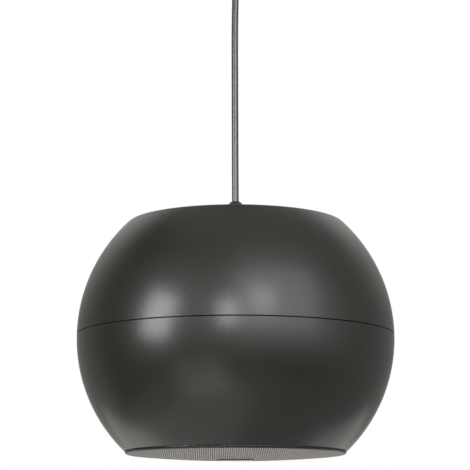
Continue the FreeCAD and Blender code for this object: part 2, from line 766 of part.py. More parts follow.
def make_spider():
    """Corrugated cloth disc from the coil former to the underside of the basket's shelf."""
    body = new_piece("woofer_spider", f"{front_level} + Dim.shelf_level - Dim.basket_wall")
    land_outer = "(Dim.shelf_radius - Dim.basket_wall - Dim.spider_sheet)"
    land_inner = f"({land_outer} - Dim.spider_land)"
    waves = int((size(land_inner) - size(coil_outer)) / size("Dim.spider_wave"))
    stops = [f"({coil_outer} + ({land_inner} - {coil_outer}) * {number} / {waves})"
             for number in range(waves + 1)]
    lower = [(stop, "-Dim.spider_sheet", "Dim.spider_arc", "left" if number % 2 else "right")
             for number, stop in enumerate(stops[:-1])]
    upper = [(stop, "0", "Dim.spider_arc", "left" if number % 2 else "right")
             for number, stop in zip(range(waves, 0, -1), stops[:0:-1])]
    turned(body, "Cloth", [
        *lower,
        (stops[-1], "-Dim.spider_sheet"),
        (land_outer, "-Dim.spider_sheet"),
        (land_outer, "0"),
        *upper,
        (stops[0], "0"),
    ])


def make_tag_strip():
    """Fibre strip on the basket's shelf with the two tags that take the coil's leads."""
    strip_level = f"{front_level} + Dim.shelf_level"
    strip = new_piece("tag_strip", strip_level, "0", "Dim.strip_place")
    tags = [f"{turn} * Dim.tag_spacing / 2" for turn in (-1, 1)]
    raised(strip, "Strip", "Dim.strip_thickness",
           outlines=[rectangle("0", "0", "Dim.strip_length", "Dim.strip_width")])
    bodies = []
    for number, x in enumerate(tags):
        tag = new_body(f"SolderTag{number + 1}", f"{strip_level} + Dim.strip_thickness", x, "Dim.strip_place")
        bodies.append(tag)
        raised(tag, "Bent", "Dim.tag_width", role="YZ_Plane", middle=True, outlines=[[
            ("-Dim.tag_foot", "0"),
            ("Dim.tag_foot", "0"),
            ("Dim.tag_foot", "Dim.tag_height"),
            ("Dim.tag_foot - Dim.tag_sheet", "Dim.tag_height"),
            ("Dim.tag_foot - Dim.tag_sheet", "Dim.tag_sheet"),
            ("-Dim.tag_foot", "Dim.tag_sheet"),
        ]])
        pocketed(tag, "Eye", "2 * Dim.strip_width", role="XZ_Plane", middle=True,
                 circles=[("0", "Dim.tag_height - Dim.tag_width / 2", "Dim.tag_width / 4")])
    gather("solder_tags", bodies)


def make_tweeter():
    """Tweeter on a post through the pole: housing, face ring, dome and three-armed guard."""
    post = new_piece("tweeter_post", f"{front_level} + Dim.tweeter_front + Dim.tweeter_height")
    raised(post, "Rod", f"{motor_top} - Dim.tweeter_front - Dim.tweeter_height",
           circles=[("0", "0", "Dim.post_radius")])
    housing = new_piece("tweeter_housing", f"{front_level} + Dim.tweeter_front")
    turned(housing, "Cup", [
        ("0", "Dim.tweeter_plate"),
        ("Dim.dome_radius", "Dim.tweeter_plate"),
        ("Dim.dome_radius", "Dim.tweeter_plate - Dim.dome_recess"),
        ("Dim.tweeter_radius - Dim.tweeter_plate", "Dim.tweeter_plate - Dim.dome_recess"),
        ("Dim.tweeter_radius - Dim.tweeter_plate", "0"),
        ("Dim.tweeter_radius", "0"),
        ("Dim.tweeter_radius", "Dim.tweeter_height - 2 * Dim.tweeter_plate"),
        ("Dim.tweeter_radius - 2 * Dim.tweeter_plate", "Dim.tweeter_height"),
        ("0", "Dim.tweeter_height"),
    ])
    dome = new_piece("tweeter_dome",
                     f"{front_level} + Dim.tweeter_front + Dim.tweeter_plate - Dim.dome_recess")
    rise, sheet = "Dim.dome_rise", "Dim.dome_sheet"
    arc = f"((Dim.dome_radius^2 + {rise}^2) / (2 * {rise}))"
    turned(dome, "Cap", [
        ("0", f"-{rise}", arc, "left"),
        ("Dim.dome_radius", "0"),
        (f"Dim.dome_radius - {sheet}", "0", arc, "right"),
        ("0", f"-{rise} + {sheet}"),
    ])
    drop = "(Dim.dome_rise - Dim.tweeter_plate + Dim.dome_recess + Dim.guard_gap)"
    guard = new_piece("tweeter_guard", f"{front_level} + Dim.tweeter_front - {drop}")
    raised(guard, "Skirt", drop,
           circles=[("0", "0", "Dim.tweeter_radius"),
                    ("0", "0", "Dim.tweeter_radius - Dim.guard_ring")])
    raised(guard, "Hub", "Dim.guard_thickness", start="-Dim.guard_thickness",
           circles=[("0", "0", "Dim.guard_hub")])
    spoke = raised(guard, "Spoke", "Dim.guard_thickness", start="-Dim.guard_thickness",
                   outlines=[[
                       ("0", "-Dim.guard_spoke / 2"),
                       ("Dim.tweeter_radius - Dim.guard_ring / 2", "-Dim.guard_spoke / 2"),
                       ("Dim.tweeter_radius - Dim.guard_ring / 2", "Dim.guard_spoke / 2"),
                       ("0", "Dim.guard_spoke / 2"),
                   ]])
    around(guard, "Spokes", spoke, "Dim.guard_spoke_count")
    raised(guard, "Lip", "Dim.guard_thickness", start="-Dim.guard_thickness",
           circles=[("0", "0", "Dim.tweeter_radius"),
                    ("0", "0", "Dim.tweeter_radius - Dim.guard_ring")])


def make_selector():
    """Power tap selector behind the grille: a switch in the baffle and its slotted knob."""
    x, y = "0", "-Dim.selector_circle"
    switch = new_piece("selector_switch", front_level, x, y)
    raised(switch, "Case", "Dim.selector_body_height",
           circles=[("0", "0", "Dim.selector_body_radius"),
                    ("0", "0", "Dim.selector_shaft + Dim.selector_play")])
    raised(switch, "Lid", "Dim.selector_lid", start="Dim.selector_body_height",
           circles=[("0", "0", "Dim.selector_body_radius")])
    knob = new_piece("selector_knob", f"{front_level} - Dim.selector_play", x, y)
    turned(knob, "Grip", [
        ("0", "-Dim.knob_height"),
        ("Dim.knob_radius - Dim.knob_round", "-Dim.knob_height", "Dim.knob_round", "left"),
        ("Dim.knob_radius", "-Dim.knob_height + Dim.knob_round"),
        ("Dim.knob_radius", "0"),
        ("Dim.selector_shaft", "0"),
        ("Dim.selector_shaft", "Dim.selector_body_height"),
        ("0", "Dim.selector_body_height"),
    ])
    pocketed(knob, "Slot", "Dim.knob_slot_depth", start="-Dim.knob_height",
             outlines=[rectangle("0", "0", "Dim.knob_slot", "Dim.knob_slot_length")])


def make_gland():
    """Cable gland in the flat top: washer, body, seal, domed nut and lock nut."""
    washer = new_piece("gland_washer", top_level)
    raised(washer, "Ring", "Dim.washer_thickness",
           circles=[("0", "0", "Dim.washer_radius"),
                    ("0", "0", "Dim.gland_thread + Dim.gland_hole_play")])
    body = new_piece("gland_body", top_level)
    flange_top = "(Dim.washer_thickness + Dim.gland_flange)"
    lock_low = "(Dim.wall + Dim.plate_thickness + Dim.lock_height)"
    neck = "(Dim.nut_flats / 2 - Dim.nut_wall - Dim.nut_play / 2)"
    chamber = "(Dim.cord_radius + Dim.seal_wall)"
    neck_top = f"({flange_top} + Dim.neck_height)"
    turned(body, "Tube", [
        ("Dim.gland_bore", f"-{lock_low} - Dim.gland_tail"),
        ("Dim.gland_thread", f"-{lock_low} - Dim.gland_tail"),
        ("Dim.gland_thread", "Dim.washer_thickness"),
        ("Dim.gland_flats / 2", "Dim.washer_thickness"),
        ("Dim.gland_flats / 2", flange_top),
        (neck, flange_top),
        (neck, neck_top),
        (chamber, neck_top),
        (chamber, f"{flange_top} + Dim.seal_floor"),
        ("Dim.gland_bore", f"{flange_top} - Dim.seal_floor"),
    ])
    raised(body, "Hexagon", "Dim.gland_flange", start="Dim.washer_thickness",
           outlines=[hexagon("Dim.gland_flats")], circles=[("0", "0", "Dim.gland_thread")])
    seal = new_piece("gland_seal", top_level)
    turned(seal, "Sleeve", [
        ("Dim.cord_radius", f"{flange_top} + Dim.seal_floor"),
        (chamber, f"{flange_top} + Dim.seal_floor"),
        (chamber, neck_top),
        ("Dim.nut_mouth - Dim.seal_chamfer", "Dim.gland_top - Dim.nut_roof"),
        ("Dim.cord_radius", "Dim.gland_top - Dim.nut_roof"),
    ])
    nut = new_piece("gland_nut", top_level)
    nut_low = f"({flange_top} + Dim.nut_play)"
    inner = f"({neck} + Dim.nut_play / 2)"
    hex_top = f"({nut_low} + Dim.nut_hex_height)"
    turned(nut, "Dome", [
        (inner, nut_low),
        ("Dim.nut_flats / 2", nut_low),
        ("Dim.nut_flats / 2", hex_top),
        ("Dim.nut_shoulder", hex_top, "Dim.nut_dome_arc", "left"),
        ("Dim.nut_mouth", "Dim.gland_top"),
        ("Dim.nut_hole", "Dim.gland_top"),
        ("Dim.nut_hole", "Dim.gland_top - Dim.nut_lip"),
        ("Dim.nut_mouth", "Dim.gland_top - Dim.nut_roof"),
        (inner, hex_top),
    ])
    raised(nut, "Hexagon", "Dim.nut_hex_height", start=nut_low,
           outlines=[hexagon("Dim.nut_flats")], circles=[("0", "0", inner)])
    lock = new_piece("gland_lock_nut", f"{plate_level} - Dim.lock_height")
    raised(lock, "Hexagon", "Dim.lock_height", outlines=[hexagon("Dim.lock_flats")],
           circles=[("0", "0", "Dim.gland_thread + Dim.thread_play")])


def make_load_plate():
    """Steel plate inside the top that spreads the weight, with its three screws."""
    body = new_piece("load_plate", plate_level)
    raised(body, "Disc", "Dim.plate_thickness",
           circles=[("0", "0", "Dim.plate_radius"),
                    ("0", "0", "Dim.gland_thread + Dim.gland_hole_play")])
    place = on_circle("Dim.plate_screw_circle", 0, "Dim.plate_screw_count",
                      "Dim.plate_screw_angle")
    hole = pocketed(body, "BossHole", "Dim.plate_thickness",
                    circles=[(*place, "Dim.plate_boss + Dim.gland_hole_play")])
    around(body, "BossHoles", hole, "Dim.plate_screw_count")
    screws = []
    for number in range(int(SIZES["plate_screw_count"])):
        x, y = on_circle("Dim.plate_screw_circle", number, "Dim.plate_screw_count",
                      "Dim.plate_screw_angle")
        screw = new_body(f"PlateScrew{number + 1}", plate_level, x, y)
        screws.append(screw)
        turned(screw, "Shank", [
            ("0", "-Dim.screw_head_height"),
            ("Dim.screw_head", "-Dim.screw_head_height"),
            ("Dim.screw_head", "-Dim.screw_head_height / 2"),
            ("Dim.plate_screw_washer", "-Dim.screw_head_height / 2"),
            ("Dim.plate_screw_washer", "0"),
            ("Dim.screw_radius", "0"),
            ("Dim.screw_radius", "Dim.plate_thickness"),
            ("0", "Dim.plate_thickness + Dim.wall / 2"),
        ])
    gather("plate_screws", screws)


def make_side_screw(name, x, y, level, reach, faces):
    """Pan-headed screw lying along X; faces is 1 when its head looks towards +X."""
    body = new_body(name, level, x, y)
    head = raised(body, "Head", "Dim.side_head_height", role="YZ_Plane",
                  circles=[("0", "0", "Dim.side_head")])
    head.Reversed = faces < 0
    shank = raised(body, "Shank", reach, role="YZ_Plane",
                   circles=[("0", "0", "Dim.side_screw_radius")])
    shank.Reversed = faces > 0
    return body


def make_cord_clamp():
    """Stepped bracket under the plate and the saddle that squeezes the cord against it."""
    bracket = new_piece("clamp_bracket", plate_level)
    sheet = "Dim.clamp_sheet"
    grip_face = "Dim.cord_radius"
    raised(bracket, "Step", "Dim.clamp_width", role="XZ_Plane", middle=True, outlines=[[
        (grip_face, "-Dim.clamp_drop"),
        (grip_face, "-Dim.clamp_drop - Dim.clamp_grip"),
        (f"{grip_face} + {sheet}", "-Dim.clamp_drop - Dim.clamp_grip"),
        (f"{grip_face} + {sheet}", f"-Dim.clamp_drop - {sheet}"),
        (f"Dim.clamp_reach + {sheet}", f"-Dim.clamp_drop - {sheet}"),
        (f"Dim.clamp_reach + {sheet}", f"-{sheet}"),
        ("Dim.clamp_reach + Dim.clamp_foot", f"-{sheet}"),
        ("Dim.clamp_reach + Dim.clamp_foot", "0"),
        ("Dim.clamp_reach", "0"),
        ("Dim.clamp_reach", "-Dim.clamp_drop"),
    ]])
    saddle_level = "(-Dim.clamp_drop - Dim.clamp_grip / 2)"
    saddle = new_piece("clamp_saddle", f"{plate_level} + {saddle_level}")
    half = "Dim.clamp_width / 2"
    groove = "(Dim.cord_radius + Dim.saddle_play)"
    back = f"{grip_face} - Dim.saddle_thickness"
    raised(saddle, "Bar", "Dim.saddle_height", middle=True, outlines=[[
        (grip_face, f"-{half}"),
        (grip_face, f"-{groove}"),
        ("0", f"-{groove}", groove, "right"),
        (f"-{groove}", "0", groove, "right"),
        ("0", groove),
        (grip_face, groove),
        (grip_face, half),
        (back, half),
        (back, "Dim.cord_radius + Dim.saddle_step"),
        (f"{back} - Dim.clamp_sheet", "Dim.cord_radius"),
        (f"{back} - Dim.clamp_sheet", "-Dim.cord_radius"),
        (back, "-Dim.cord_radius - Dim.saddle_step"),
        (back, f"-{half}"),
    ]])
    hole = "Dim.side_screw_radius + Dim.tongue_play / 2"
    places = [f"{turn} * Dim.clamp_screw_spread / 2" for turn in (-1, 1)]
    for piece, level in ((bracket, saddle_level), (saddle, "0")):
        pocketed(piece, "ScrewHoles", "4 * Dim.clamp_reach", role="YZ_Plane", middle=True,
                 circles=[(place, level, hole) for place in places])
    gather("clamp_screws", [
        make_side_screw(f"ClampScrew{number + 1}", back, place, f"{plate_level} + {saddle_level}",
                        "Dim.saddle_thickness + 2 * Dim.clamp_sheet", -1)
        for number, place in enumerate(places)
    ])


def make_transformer():
    """Line transformer under the plate: laminated core, winding and strap."""
    top = plate_level
    y = "Dim.transformer_place"
    window_height = "(Dim.core_height - 2 * Dim.core_leg)"
    window_width = "((Dim.core_width - 4 * Dim.core_leg) / 2)"
    window_place = f"(Dim.core_leg + {window_width} / 2)"
    middle = "-Dim.core_height / 2"
    core = new_piece("transformer_core", top, "0", y)
    raised(core, "Stack", "Dim.core_stack", role="XZ_Plane", middle=True, outlines=[
        rectangle("0", middle, "Dim.core_width", "Dim.core_height"),
        rectangle(window_place, middle, window_width, window_height),
        rectangle(f"-{window_place}", middle, window_width, window_height),
    ])
    winding = new_piece("transformer_winding", f"{top} - Dim.core_height / 2", "0", y)
    gap = "2 * Dim.coil_gap"
    raised(winding, "Bobbin", f"{window_height} - {gap}", middle=True, outlines=[
        rectangle("0", "0", f"(2 * Dim.core_leg + 2 * {window_width} - {gap})",
                  "(Dim.core_stack + 2 * Dim.winding_bulge)"),
        rectangle("0", "0", f"(2 * Dim.core_leg + {gap})", f"(Dim.core_stack + {gap})"),
    ])
    strap = new_piece("transformer_strap", top, "0", y)
    side, sheet = "Dim.core_width / 2", "Dim.strap_sheet"
    raised(strap, "Band", "Dim.strap_width", role="XZ_Plane", middle=True, outlines=[[
        (side, "0"),
        (side, "-Dim.core_height"),
        (f"-{side}", "-Dim.core_height"),
        (f"-{side}", "0"),
        (f"-{side} - Dim.strap_foot", "0"),
        (f"-{side} - Dim.strap_foot", f"-{sheet}"),
        (f"-{side} - {sheet}", f"-{sheet}"),
        (f"-{side} - {sheet}", f"-Dim.core_height - {sheet}"),
        (f"{side} + {sheet}", f"-Dim.core_height - {sheet}"),
        (f"{side} + {sheet}", f"-{sheet}"),
        (f"{side} + Dim.strap_foot", f"-{sheet}"),
        (f"{side} + Dim.strap_foot", "0"),
    ]])


def make_terminal_block():
    """Four-pole terminal block under the plate with its wire entries and screw wells."""
    body = new_piece("terminal_block", plate_level, "0", "-Dim.terminal_place")
    raised(body, "Block", "Dim.terminal_height", start="-Dim.terminal_height",
           outlines=[rectangle("0", "0", "Dim.terminal_length", "Dim.terminal_width")])
    places = [f"Dim.terminal_pitch * ({number} - (Dim.terminal_poles - 1) / 2)"
              for number in range(int(SIZES["terminal_poles"]))]
    pocketed(body, "Wells", "Dim.terminal_height / 2", start="-Dim.terminal_height",
             circles=[(place, "0", "Dim.terminal_well") for place in places])
    pocketed(body, "Entries", "2 * Dim.terminal_width", role="XZ_Plane", middle=True,
             circles=[(place, "-Dim.terminal_entry_depth", "Dim.terminal_entry") for place in places])


def make_crossover():
    """Crossover board on standoffs with its inductor and capacitor."""
    x = "-Dim.board_place"
    board_level = f"{plate_level} - Dim.standoff_height - Dim.board_thickness"
    board = new_piece("crossover_board", board_level, x)
    raised(board, "Board", "Dim.board_thickness",
           outlines=[rectangle("0", "0", "Dim.board_width", "Dim.board_length")])
    inset = "2 * Dim.standoff_radius"
    corners = [(f"{sx} * (Dim.board_width - {inset}) / 2", f"{sy} * (Dim.board_length - {inset}) / 2",
                "Dim.standoff_radius") for sx in (-1, 1) for sy in (-1, 1)]
    raised(board, "Standoffs", "Dim.standoff_height", start="Dim.board_thickness", circles=corners)
    inductor = new_piece("crossover_inductor", board_level, x, "Dim.inductor_place")
    turned(inductor, "Coil", [
        ("Dim.inductor_hole", "0"),
        ("Dim.inductor_radius", "0"),
        ("Dim.inductor_radius", "-Dim.inductor_height"),
        ("Dim.inductor_hole", "-Dim.inductor_height"),
    ])
    capacitor = new_piece("crossover_capacitor", f"{board_level} - Dim.capacitor_radius", x,
                          "-Dim.capacitor_place")
    raised(capacitor, "Can", "Dim.capacitor_length", role="YZ_Plane", middle=True,
           circles=[("0", "0", "Dim.capacitor_radius")])


def make_wadding():
    """Sheet of wadding that lines the inside of the upper shell."""
    body = new_piece("wadding", widest_level)
    near = "Dim.wall + Dim.wadding_play"
    far = f"{near} + Dim.wadding_thickness"
    turned(body, "Lining", [
        (upper_radius("Dim.wadding_low", f"({near})"), "Dim.wadding_low",
         f"Dim.upper_arc - ({near})", "left"),
        (upper_radius("Dim.wadding_high", f"({near})"), "Dim.wadding_high"),
        (upper_radius("Dim.wadding_high", f"({far})"), "Dim.wadding_high",
         f"Dim.upper_arc - ({far})", "right"),
        (upper_radius("Dim.wadding_low", f"({far})"), "Dim.wadding_low"),
    ])


def make_cord():
    """Round cord, straight down from the collar in the canopy to the clamp in the speaker."""
    clamp_low = "Dim.plate_thickness + Dim.clamp_drop + Dim.clamp_grip"
    collar_top = "Dim.canopy_depth - Dim.grip_height + Dim.grip_flange_height - Dim.collar_height"
    low = f"(Dim.drop - {inner_top} + {clamp_low} + Dim.cord_tail)"
    high = f"({collar_top} - Dim.cord_tail)"
    body = new_piece("cord", f"-{low}")
    raised(body, "Round", f"{low} - {high}", circles=[("0", "0", "Dim.cord_radius")])


def make_canopy():
    """Cup that covers the ceiling bracket, with a hole for the cord grip and two side screws."""
    body = new_piece("ceiling_canopy")
    bend, wall = "Dim.canopy_round", "Dim.canopy_wall"
    turned(body, "Cup", [
        ("Dim.grip_radius", "-Dim.canopy_depth"),
        (f"Dim.canopy_radius - {bend}", "-Dim.canopy_depth", bend, "left"),
        ("Dim.canopy_radius", f"-Dim.canopy_depth + {bend}"),
        ("Dim.canopy_radius", "0"),
        (f"Dim.canopy_radius - {wall}", "0"),
        (f"Dim.canopy_radius - {wall}", f"-Dim.canopy_depth + {bend}", f"{bend} - {wall}", "right"),
        (f"Dim.canopy_radius - {bend}", f"-Dim.canopy_depth + {wall}"),
        ("Dim.grip_radius", f"-Dim.canopy_depth + {wall}"),
    ])
    pocketed(body, "SideHoles", "2 * (Dim.canopy_radius + Dim.canopy_wall)", role="YZ_Plane", middle=True,
             circles=[("0", "-Dim.side_screw_depth", "Dim.side_screw_radius + Dim.tongue_play / 2")])


def make_bracket():
    """Steel strap on the ceiling with two bolt holes and two legs that carry the canopy."""
    body = new_piece("ceiling_bracket")
    inside = "(Dim.canopy_radius - Dim.canopy_wall - Dim.bracket_play)"
    reach = f"sqrt({inside}^2 - (Dim.bracket_width / 2)^2)"
    sheet = "Dim.bracket_sheet"
    raised(body, "Strap", "Dim.bracket_width", role="XZ_Plane", middle=True, outlines=[[
        (f"-{reach}", "0"),
        (f"-{reach}", "-Dim.bracket_leg"),
        (f"-{reach} + {sheet}", "-Dim.bracket_leg"),
        (f"-{reach} + {sheet}", f"-{sheet}"),
        (f"{reach} - {sheet}", f"-{sheet}"),
        (f"{reach} - {sheet}", "-Dim.bracket_leg"),
        (reach, "-Dim.bracket_leg"),
        (reach, "0"),
    ]])
    pocketed(body, "BoltHoles", sheet, start=f"-{sheet}", circles=[
        ("-Dim.bracket_bolt_spacing / 2", "0", "Dim.bracket_bolt"),
        ("Dim.bracket_bolt_spacing / 2", "0", "Dim.bracket_bolt"),
    ])
    pocketed(body, "LegHoles", "2 * (Dim.canopy_radius + Dim.canopy_wall)", role="YZ_Plane", middle=True,
             circles=[("0", "-Dim.side_screw_depth", "Dim.side_screw_radius + Dim.tongue_play / 2")])
    gather("canopy_screws", [
        make_side_screw(f"CanopyScrew{number + 1}", f"{turn} * Dim.canopy_radius", "0",
                        "-Dim.side_screw_depth", "Dim.side_screw_length", turn)
        for number, turn in enumerate((-1, 1))
    ])


def make_grip():
    """Cord grip in the canopy's hole and the collar that rests on it."""
    grip = new_piece("cord_grip", "-Dim.canopy_depth")
    bore = "(Dim.cord_radius + Dim.thread_play)"
    turned(grip, "Bush", [
        (bore, "-Dim.grip_flange_height"),
        ("Dim.grip_flange - Dim.grip_chamfer", "-Dim.grip_flange_height"),
        ("Dim.grip_flange", "-Dim.grip_flange_height + Dim.grip_chamfer"),
        ("Dim.grip_flange", "0"),
        ("Dim.grip_radius - Dim.thread_play", "0"),
        ("Dim.grip_radius - Dim.thread_play", "Dim.grip_height - Dim.grip_flange_height"),
        (bore, "Dim.grip_height - Dim.grip_flange_height"),
    ])
    collar = new_piece("cord_collar", "-Dim.canopy_depth + Dim.grip_height - Dim.grip_flange_height")
    raised(collar, "Ring", "Dim.collar_height",
           circles=[("0", "0", "Dim.collar_radius"), ("0", "0", bore)])


make_upper_shell()
make_lower_shell()
make_grille()
make_badge()
make_baffle()
make_rim_screws()
make_basket()
make_motor()
make_moving_parts()
make_surround()
make_spider()
make_tag_strip()
make_tweeter()
make_selector()
make_gland()
make_load_plate()
make_cord_clamp()
make_transformer()
make_terminal_block()
make_crossover()
make_wadding()
make_cord()
make_canopy()
make_bracket()
make_grip()

doc.recompute()
for item in doc.Objects:
    if "Invalid" in item.State or "Error" in item.State:
        raise RuntimeError(f"{item.Name} failed: {item.State}")
for body in sub_parts:
    if body.Shape.isNull() or not body.Shape.isValid():
        raise RuntimeError(f"{body.Label} has no valid shape")
for body in sub_parts:
    body.Shape.exportStep(f"parts/{body.Label}.step")
    print(body.Label, len(body.Shape.Solids), round(body.Shape.Volume, 1))
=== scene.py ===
"""Looks of a ball-shaped pendant speaker that hangs on one cord from a ceiling canopy.

Everything is in metres. The origin is on the ceiling, in the middle of the canopy, and +Z is up.
"""
from math import cos, pi, radians, sin, tan

import bmesh
import bpy
import numpy as np
from mathutils import Matrix, Vector


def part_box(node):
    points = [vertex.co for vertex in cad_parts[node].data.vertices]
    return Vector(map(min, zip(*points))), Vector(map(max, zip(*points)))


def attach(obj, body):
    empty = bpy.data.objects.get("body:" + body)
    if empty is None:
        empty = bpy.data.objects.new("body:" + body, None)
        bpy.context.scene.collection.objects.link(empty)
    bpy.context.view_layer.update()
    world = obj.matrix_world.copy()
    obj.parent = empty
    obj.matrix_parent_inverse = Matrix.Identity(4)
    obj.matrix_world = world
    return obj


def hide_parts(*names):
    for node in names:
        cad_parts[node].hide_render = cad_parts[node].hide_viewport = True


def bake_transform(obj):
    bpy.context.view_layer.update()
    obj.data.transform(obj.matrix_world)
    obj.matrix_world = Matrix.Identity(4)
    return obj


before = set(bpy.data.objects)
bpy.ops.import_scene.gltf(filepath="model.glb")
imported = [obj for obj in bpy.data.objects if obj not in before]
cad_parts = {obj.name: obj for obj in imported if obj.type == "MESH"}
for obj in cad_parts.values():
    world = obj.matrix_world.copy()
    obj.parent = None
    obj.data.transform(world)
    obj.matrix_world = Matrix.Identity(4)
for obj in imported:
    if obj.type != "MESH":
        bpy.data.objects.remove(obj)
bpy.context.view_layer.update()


# Camera. The photographer stood about 1.8 m away with a long lens, a little below the speaker's
# widest line, and tilted the camera up, so that the underside shows as a thin bright sickle.
widest = -0.390
picture_width = 470
focal_pixels = 1857.6
stand_off = 1.8079
eye_below_widest = 0.2157
tilt = radians(9.99)
axis_right_of_middle = 0.6
sensor = 36.0

camera_data = bpy.data.cameras.new("photo_camera")
camera_data.sensor_width = sensor
camera_data.lens = sensor * focal_pixels / picture_width
camera = bpy.data.objects.new("photo_camera", camera_data)
sideways = -axis_right_of_middle * stand_off / focal_pixels
camera.location = (sideways, -stand_off, widest - eye_below_widest)
camera.rotation_euler = (pi / 2 + tilt, 0, 0)
bpy.context.scene.collection.objects.link(camera)
bpy.context.scene.camera = camera


# Cord. A round three-core lead with a satin PVC jacket, pulled straight by the speaker's weight.
# It leaves the gland on the flat top and ends in the canopy's grip, where a collar locks it.
class Socket:
    """Output of a shader node; sums and products with it, and a number less it, add Math nodes."""

    def __init__(self, finish, socket):
        self.finish = finish
        self.socket = socket

    def math(self, operation, first, second=0.0):
        """Output of a new Math node."""
        return self.finish.node("ShaderNodeMath", {"operation": operation}, {0: first, 1: second})

    def __add__(self, other):
        return self.math("ADD", self, other)

    def __rsub__(self, other):
        return self.math("SUBTRACT", other, self)

    def __mul__(self, other):
        return self.math("MULTIPLY", self, other)

    __radd__ = __add__
    __rmul__ = __mul__

    def sine(self):
        """Sine of the value, in radians."""
        return self.math("SINE", self)

    def fraction(self):
        """What is left of the value past its last whole number."""
        return self.math("FRACT", self)


class Finish:
    """Procedural material that is put together from nodes and ends in one Principled shader."""

    def __init__(self, name):
        self.material = bpy.data.materials.new(name)
        self.material.use_nodes = True
        self.tree = self.material.node_tree
        self.tree.nodes.clear()
        self.place = self.node("ShaderNodeTexCoord", output="Object")

    def node(self, kind, settings=None, inputs=None, output=0):
        """Adds a node: its settings first, then the values or links of its sockets."""
        made = self.tree.nodes.new(kind)
        for key, value in (settings or {}).items():
            setattr(made, key, value)
        for key, value in (inputs or {}).items():
            if isinstance(value, Socket):
                self.tree.links.new(value.socket, made.inputs[key])
            else:
                made.inputs[key].default_value = value
        return Socket(self, made.outputs[output]) if made.outputs else None

    def along(self, axis):
        """Object coordinate along one axis: 0 is x, 1 is y and 2 is z."""
        return self.node("ShaderNodeSeparateXYZ", None, {0: self.place}, output=axis)

    def stretched(self, x=1.0, y=1.0, z=1.0):
        """Object coordinates scaled along each axis, for grain that runs one way."""
        return self.node("ShaderNodeVectorMath", {"operation": "MULTIPLY"},
                         {0: self.place, 1: (x, y, z)})

    def noise(self, per_metre, detail=2.0, at=None, roughness=0.5):
        """Cloudy value from 0 to 1 with so many features in a metre."""
        return self.node("ShaderNodeTexNoise", None,
                         {"Vector": at or self.place, "Scale": per_metre, "Detail": detail,
                          "Roughness": roughness})

    def mixed(self, low, high, share):
        """Colour between two colours, by a share from 0 to 1."""
        return self.node("ShaderNodeMix", {"data_type": "RGBA"},
                         {0: share, 6: low, 7: high}, output=2)

    def step(self, value, low, high):
        """Share from 0 to 1 as the value goes from low to high."""
        return self.node("ShaderNodeMapRange", {"interpolation_type": "SMOOTHSTEP"},
                         {"Value": value, "From Min": low, "From Max": high})

    def bump(self, height, depth):
        """Normal of a relief: height runs from 0 to 1, and depth is its real depth in metres."""
        return self.node("ShaderNodeBump", None, {"Height": height, "Distance": depth})

    def done(self, inputs):
        """Principled shader with these values and links, its output node, and the material."""
        shader = self.node("ShaderNodeBsdfPrincipled", None, inputs)
        self.node("ShaderNodeOutputMaterial", None, {"Surface": shader})
        return self.material


def grey(value, warm=0.0):
    """Neutral colour of that linear value, a little warm or, below zero, a little cold."""
    return (value * (1 + warm), value, value * (1 - warm), 1.0)


def cord_jacket():
    """Smooth black PVC with faint lines along it from the extruder and a slightly uneven gloss."""
    finish = Finish("cord_jacket")
    lines = finish.noise(1.0, 1, finish.stretched(700, 700, 9))
    clouds = finish.noise(60, 2)
    return finish.done({
        "Base Color": finish.mixed(grey(0.030), grey(0.040, 0.04), clouds),
        "Roughness": 0.22 + clouds * 0.06,
        "Specular IOR Level": 0.75,
        "Normal": finish.bump(lines, 0.00001),
    })


cord_radius = 0.0034
cord_in_gland = 0.022
gland_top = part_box("gland_nut")[1].z
cord_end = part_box("cord")[1].z
# It hangs almost straight: the set from its coil still sways it by less than a millimetre.
cord_points = [
    (0.0, 0.0, gland_top - cord_in_gland),
    (-0.0003, 0.0, gland_top + 0.012),
    (-0.0005, 0.0, -0.190),
    (-0.0007, 0.0003, -0.120),
    (-0.0008, 0.0, -0.075),
    (0.0, 0.0, -0.040),
    (0.0, 0.0, cord_end),
]
cord_curve = bpy.data.curves.new("cord_lead", "CURVE")
cord_curve.dimensions = "3D"
cord_line = cord_curve.splines.new("NURBS")
cord_line.points.add(len(cord_points) - 1)
cord_line.points.foreach_set("co", np.c_[cord_points, np.ones(len(cord_points))].ravel())
cord_line.order_u = 3
cord_line.use_endpoint_u = True
cord_line.resolution_u = 12
cord_curve.bevel_depth = cord_radius
cord_curve.bevel_resolution = 7
cord_curve.use_fill_caps = True
cord_curve.materials.append(cord_jacket())
cord = bpy.data.objects.new("cord_lead", cord_curve)
bpy.context.scene.collection.objects.link(cord)
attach(cord, "hanging_unit")
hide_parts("cord")


# Shells. Two thick mouldings in charcoal plastic with a fine satin grain. The lower one carries a
# tongue that plugs into the upper one, and the joint between them is the thin dark line.
def traced(corners, turn=radians(1.5)):
    """Closed outline through corners (r, z). A corner (r, z, radius, side) starts an arc with its
    centre on that side, and the arc's points are centre + radius * (cos a, sin a) at even angles."""
    runs = []
    for corner, following in zip(corners, corners[1:] + corners[:1]):
        start, end = np.array(corner[:2]), np.array(following[:2])
        runs.append(start[None])
        if len(corner) == 4:
            radius, side = corner[2:]
            along = end - start
            across = np.array((-along[1], along[0])) / np.linalg.norm(along)
            height = np.sqrt(radius ** 2 - along @ along / 4)
            centre = (start + end) / 2 + across * (height if side == "left" else -height)
            first = np.arctan2(start[1] - centre[1], start[0] - centre[0])
            last = np.arctan2(end[1] - centre[1], end[0] - centre[0])
            sweep = (last - first + pi) % (2 * pi) - pi
            count = max(int(abs(sweep) / turn), 4)
            angles = first + sweep * np.arange(1, count) / count
            runs.append(centre + radius * np.stack((np.cos(angles), np.sin(angles)), 1))
    return np.concatenate(runs)


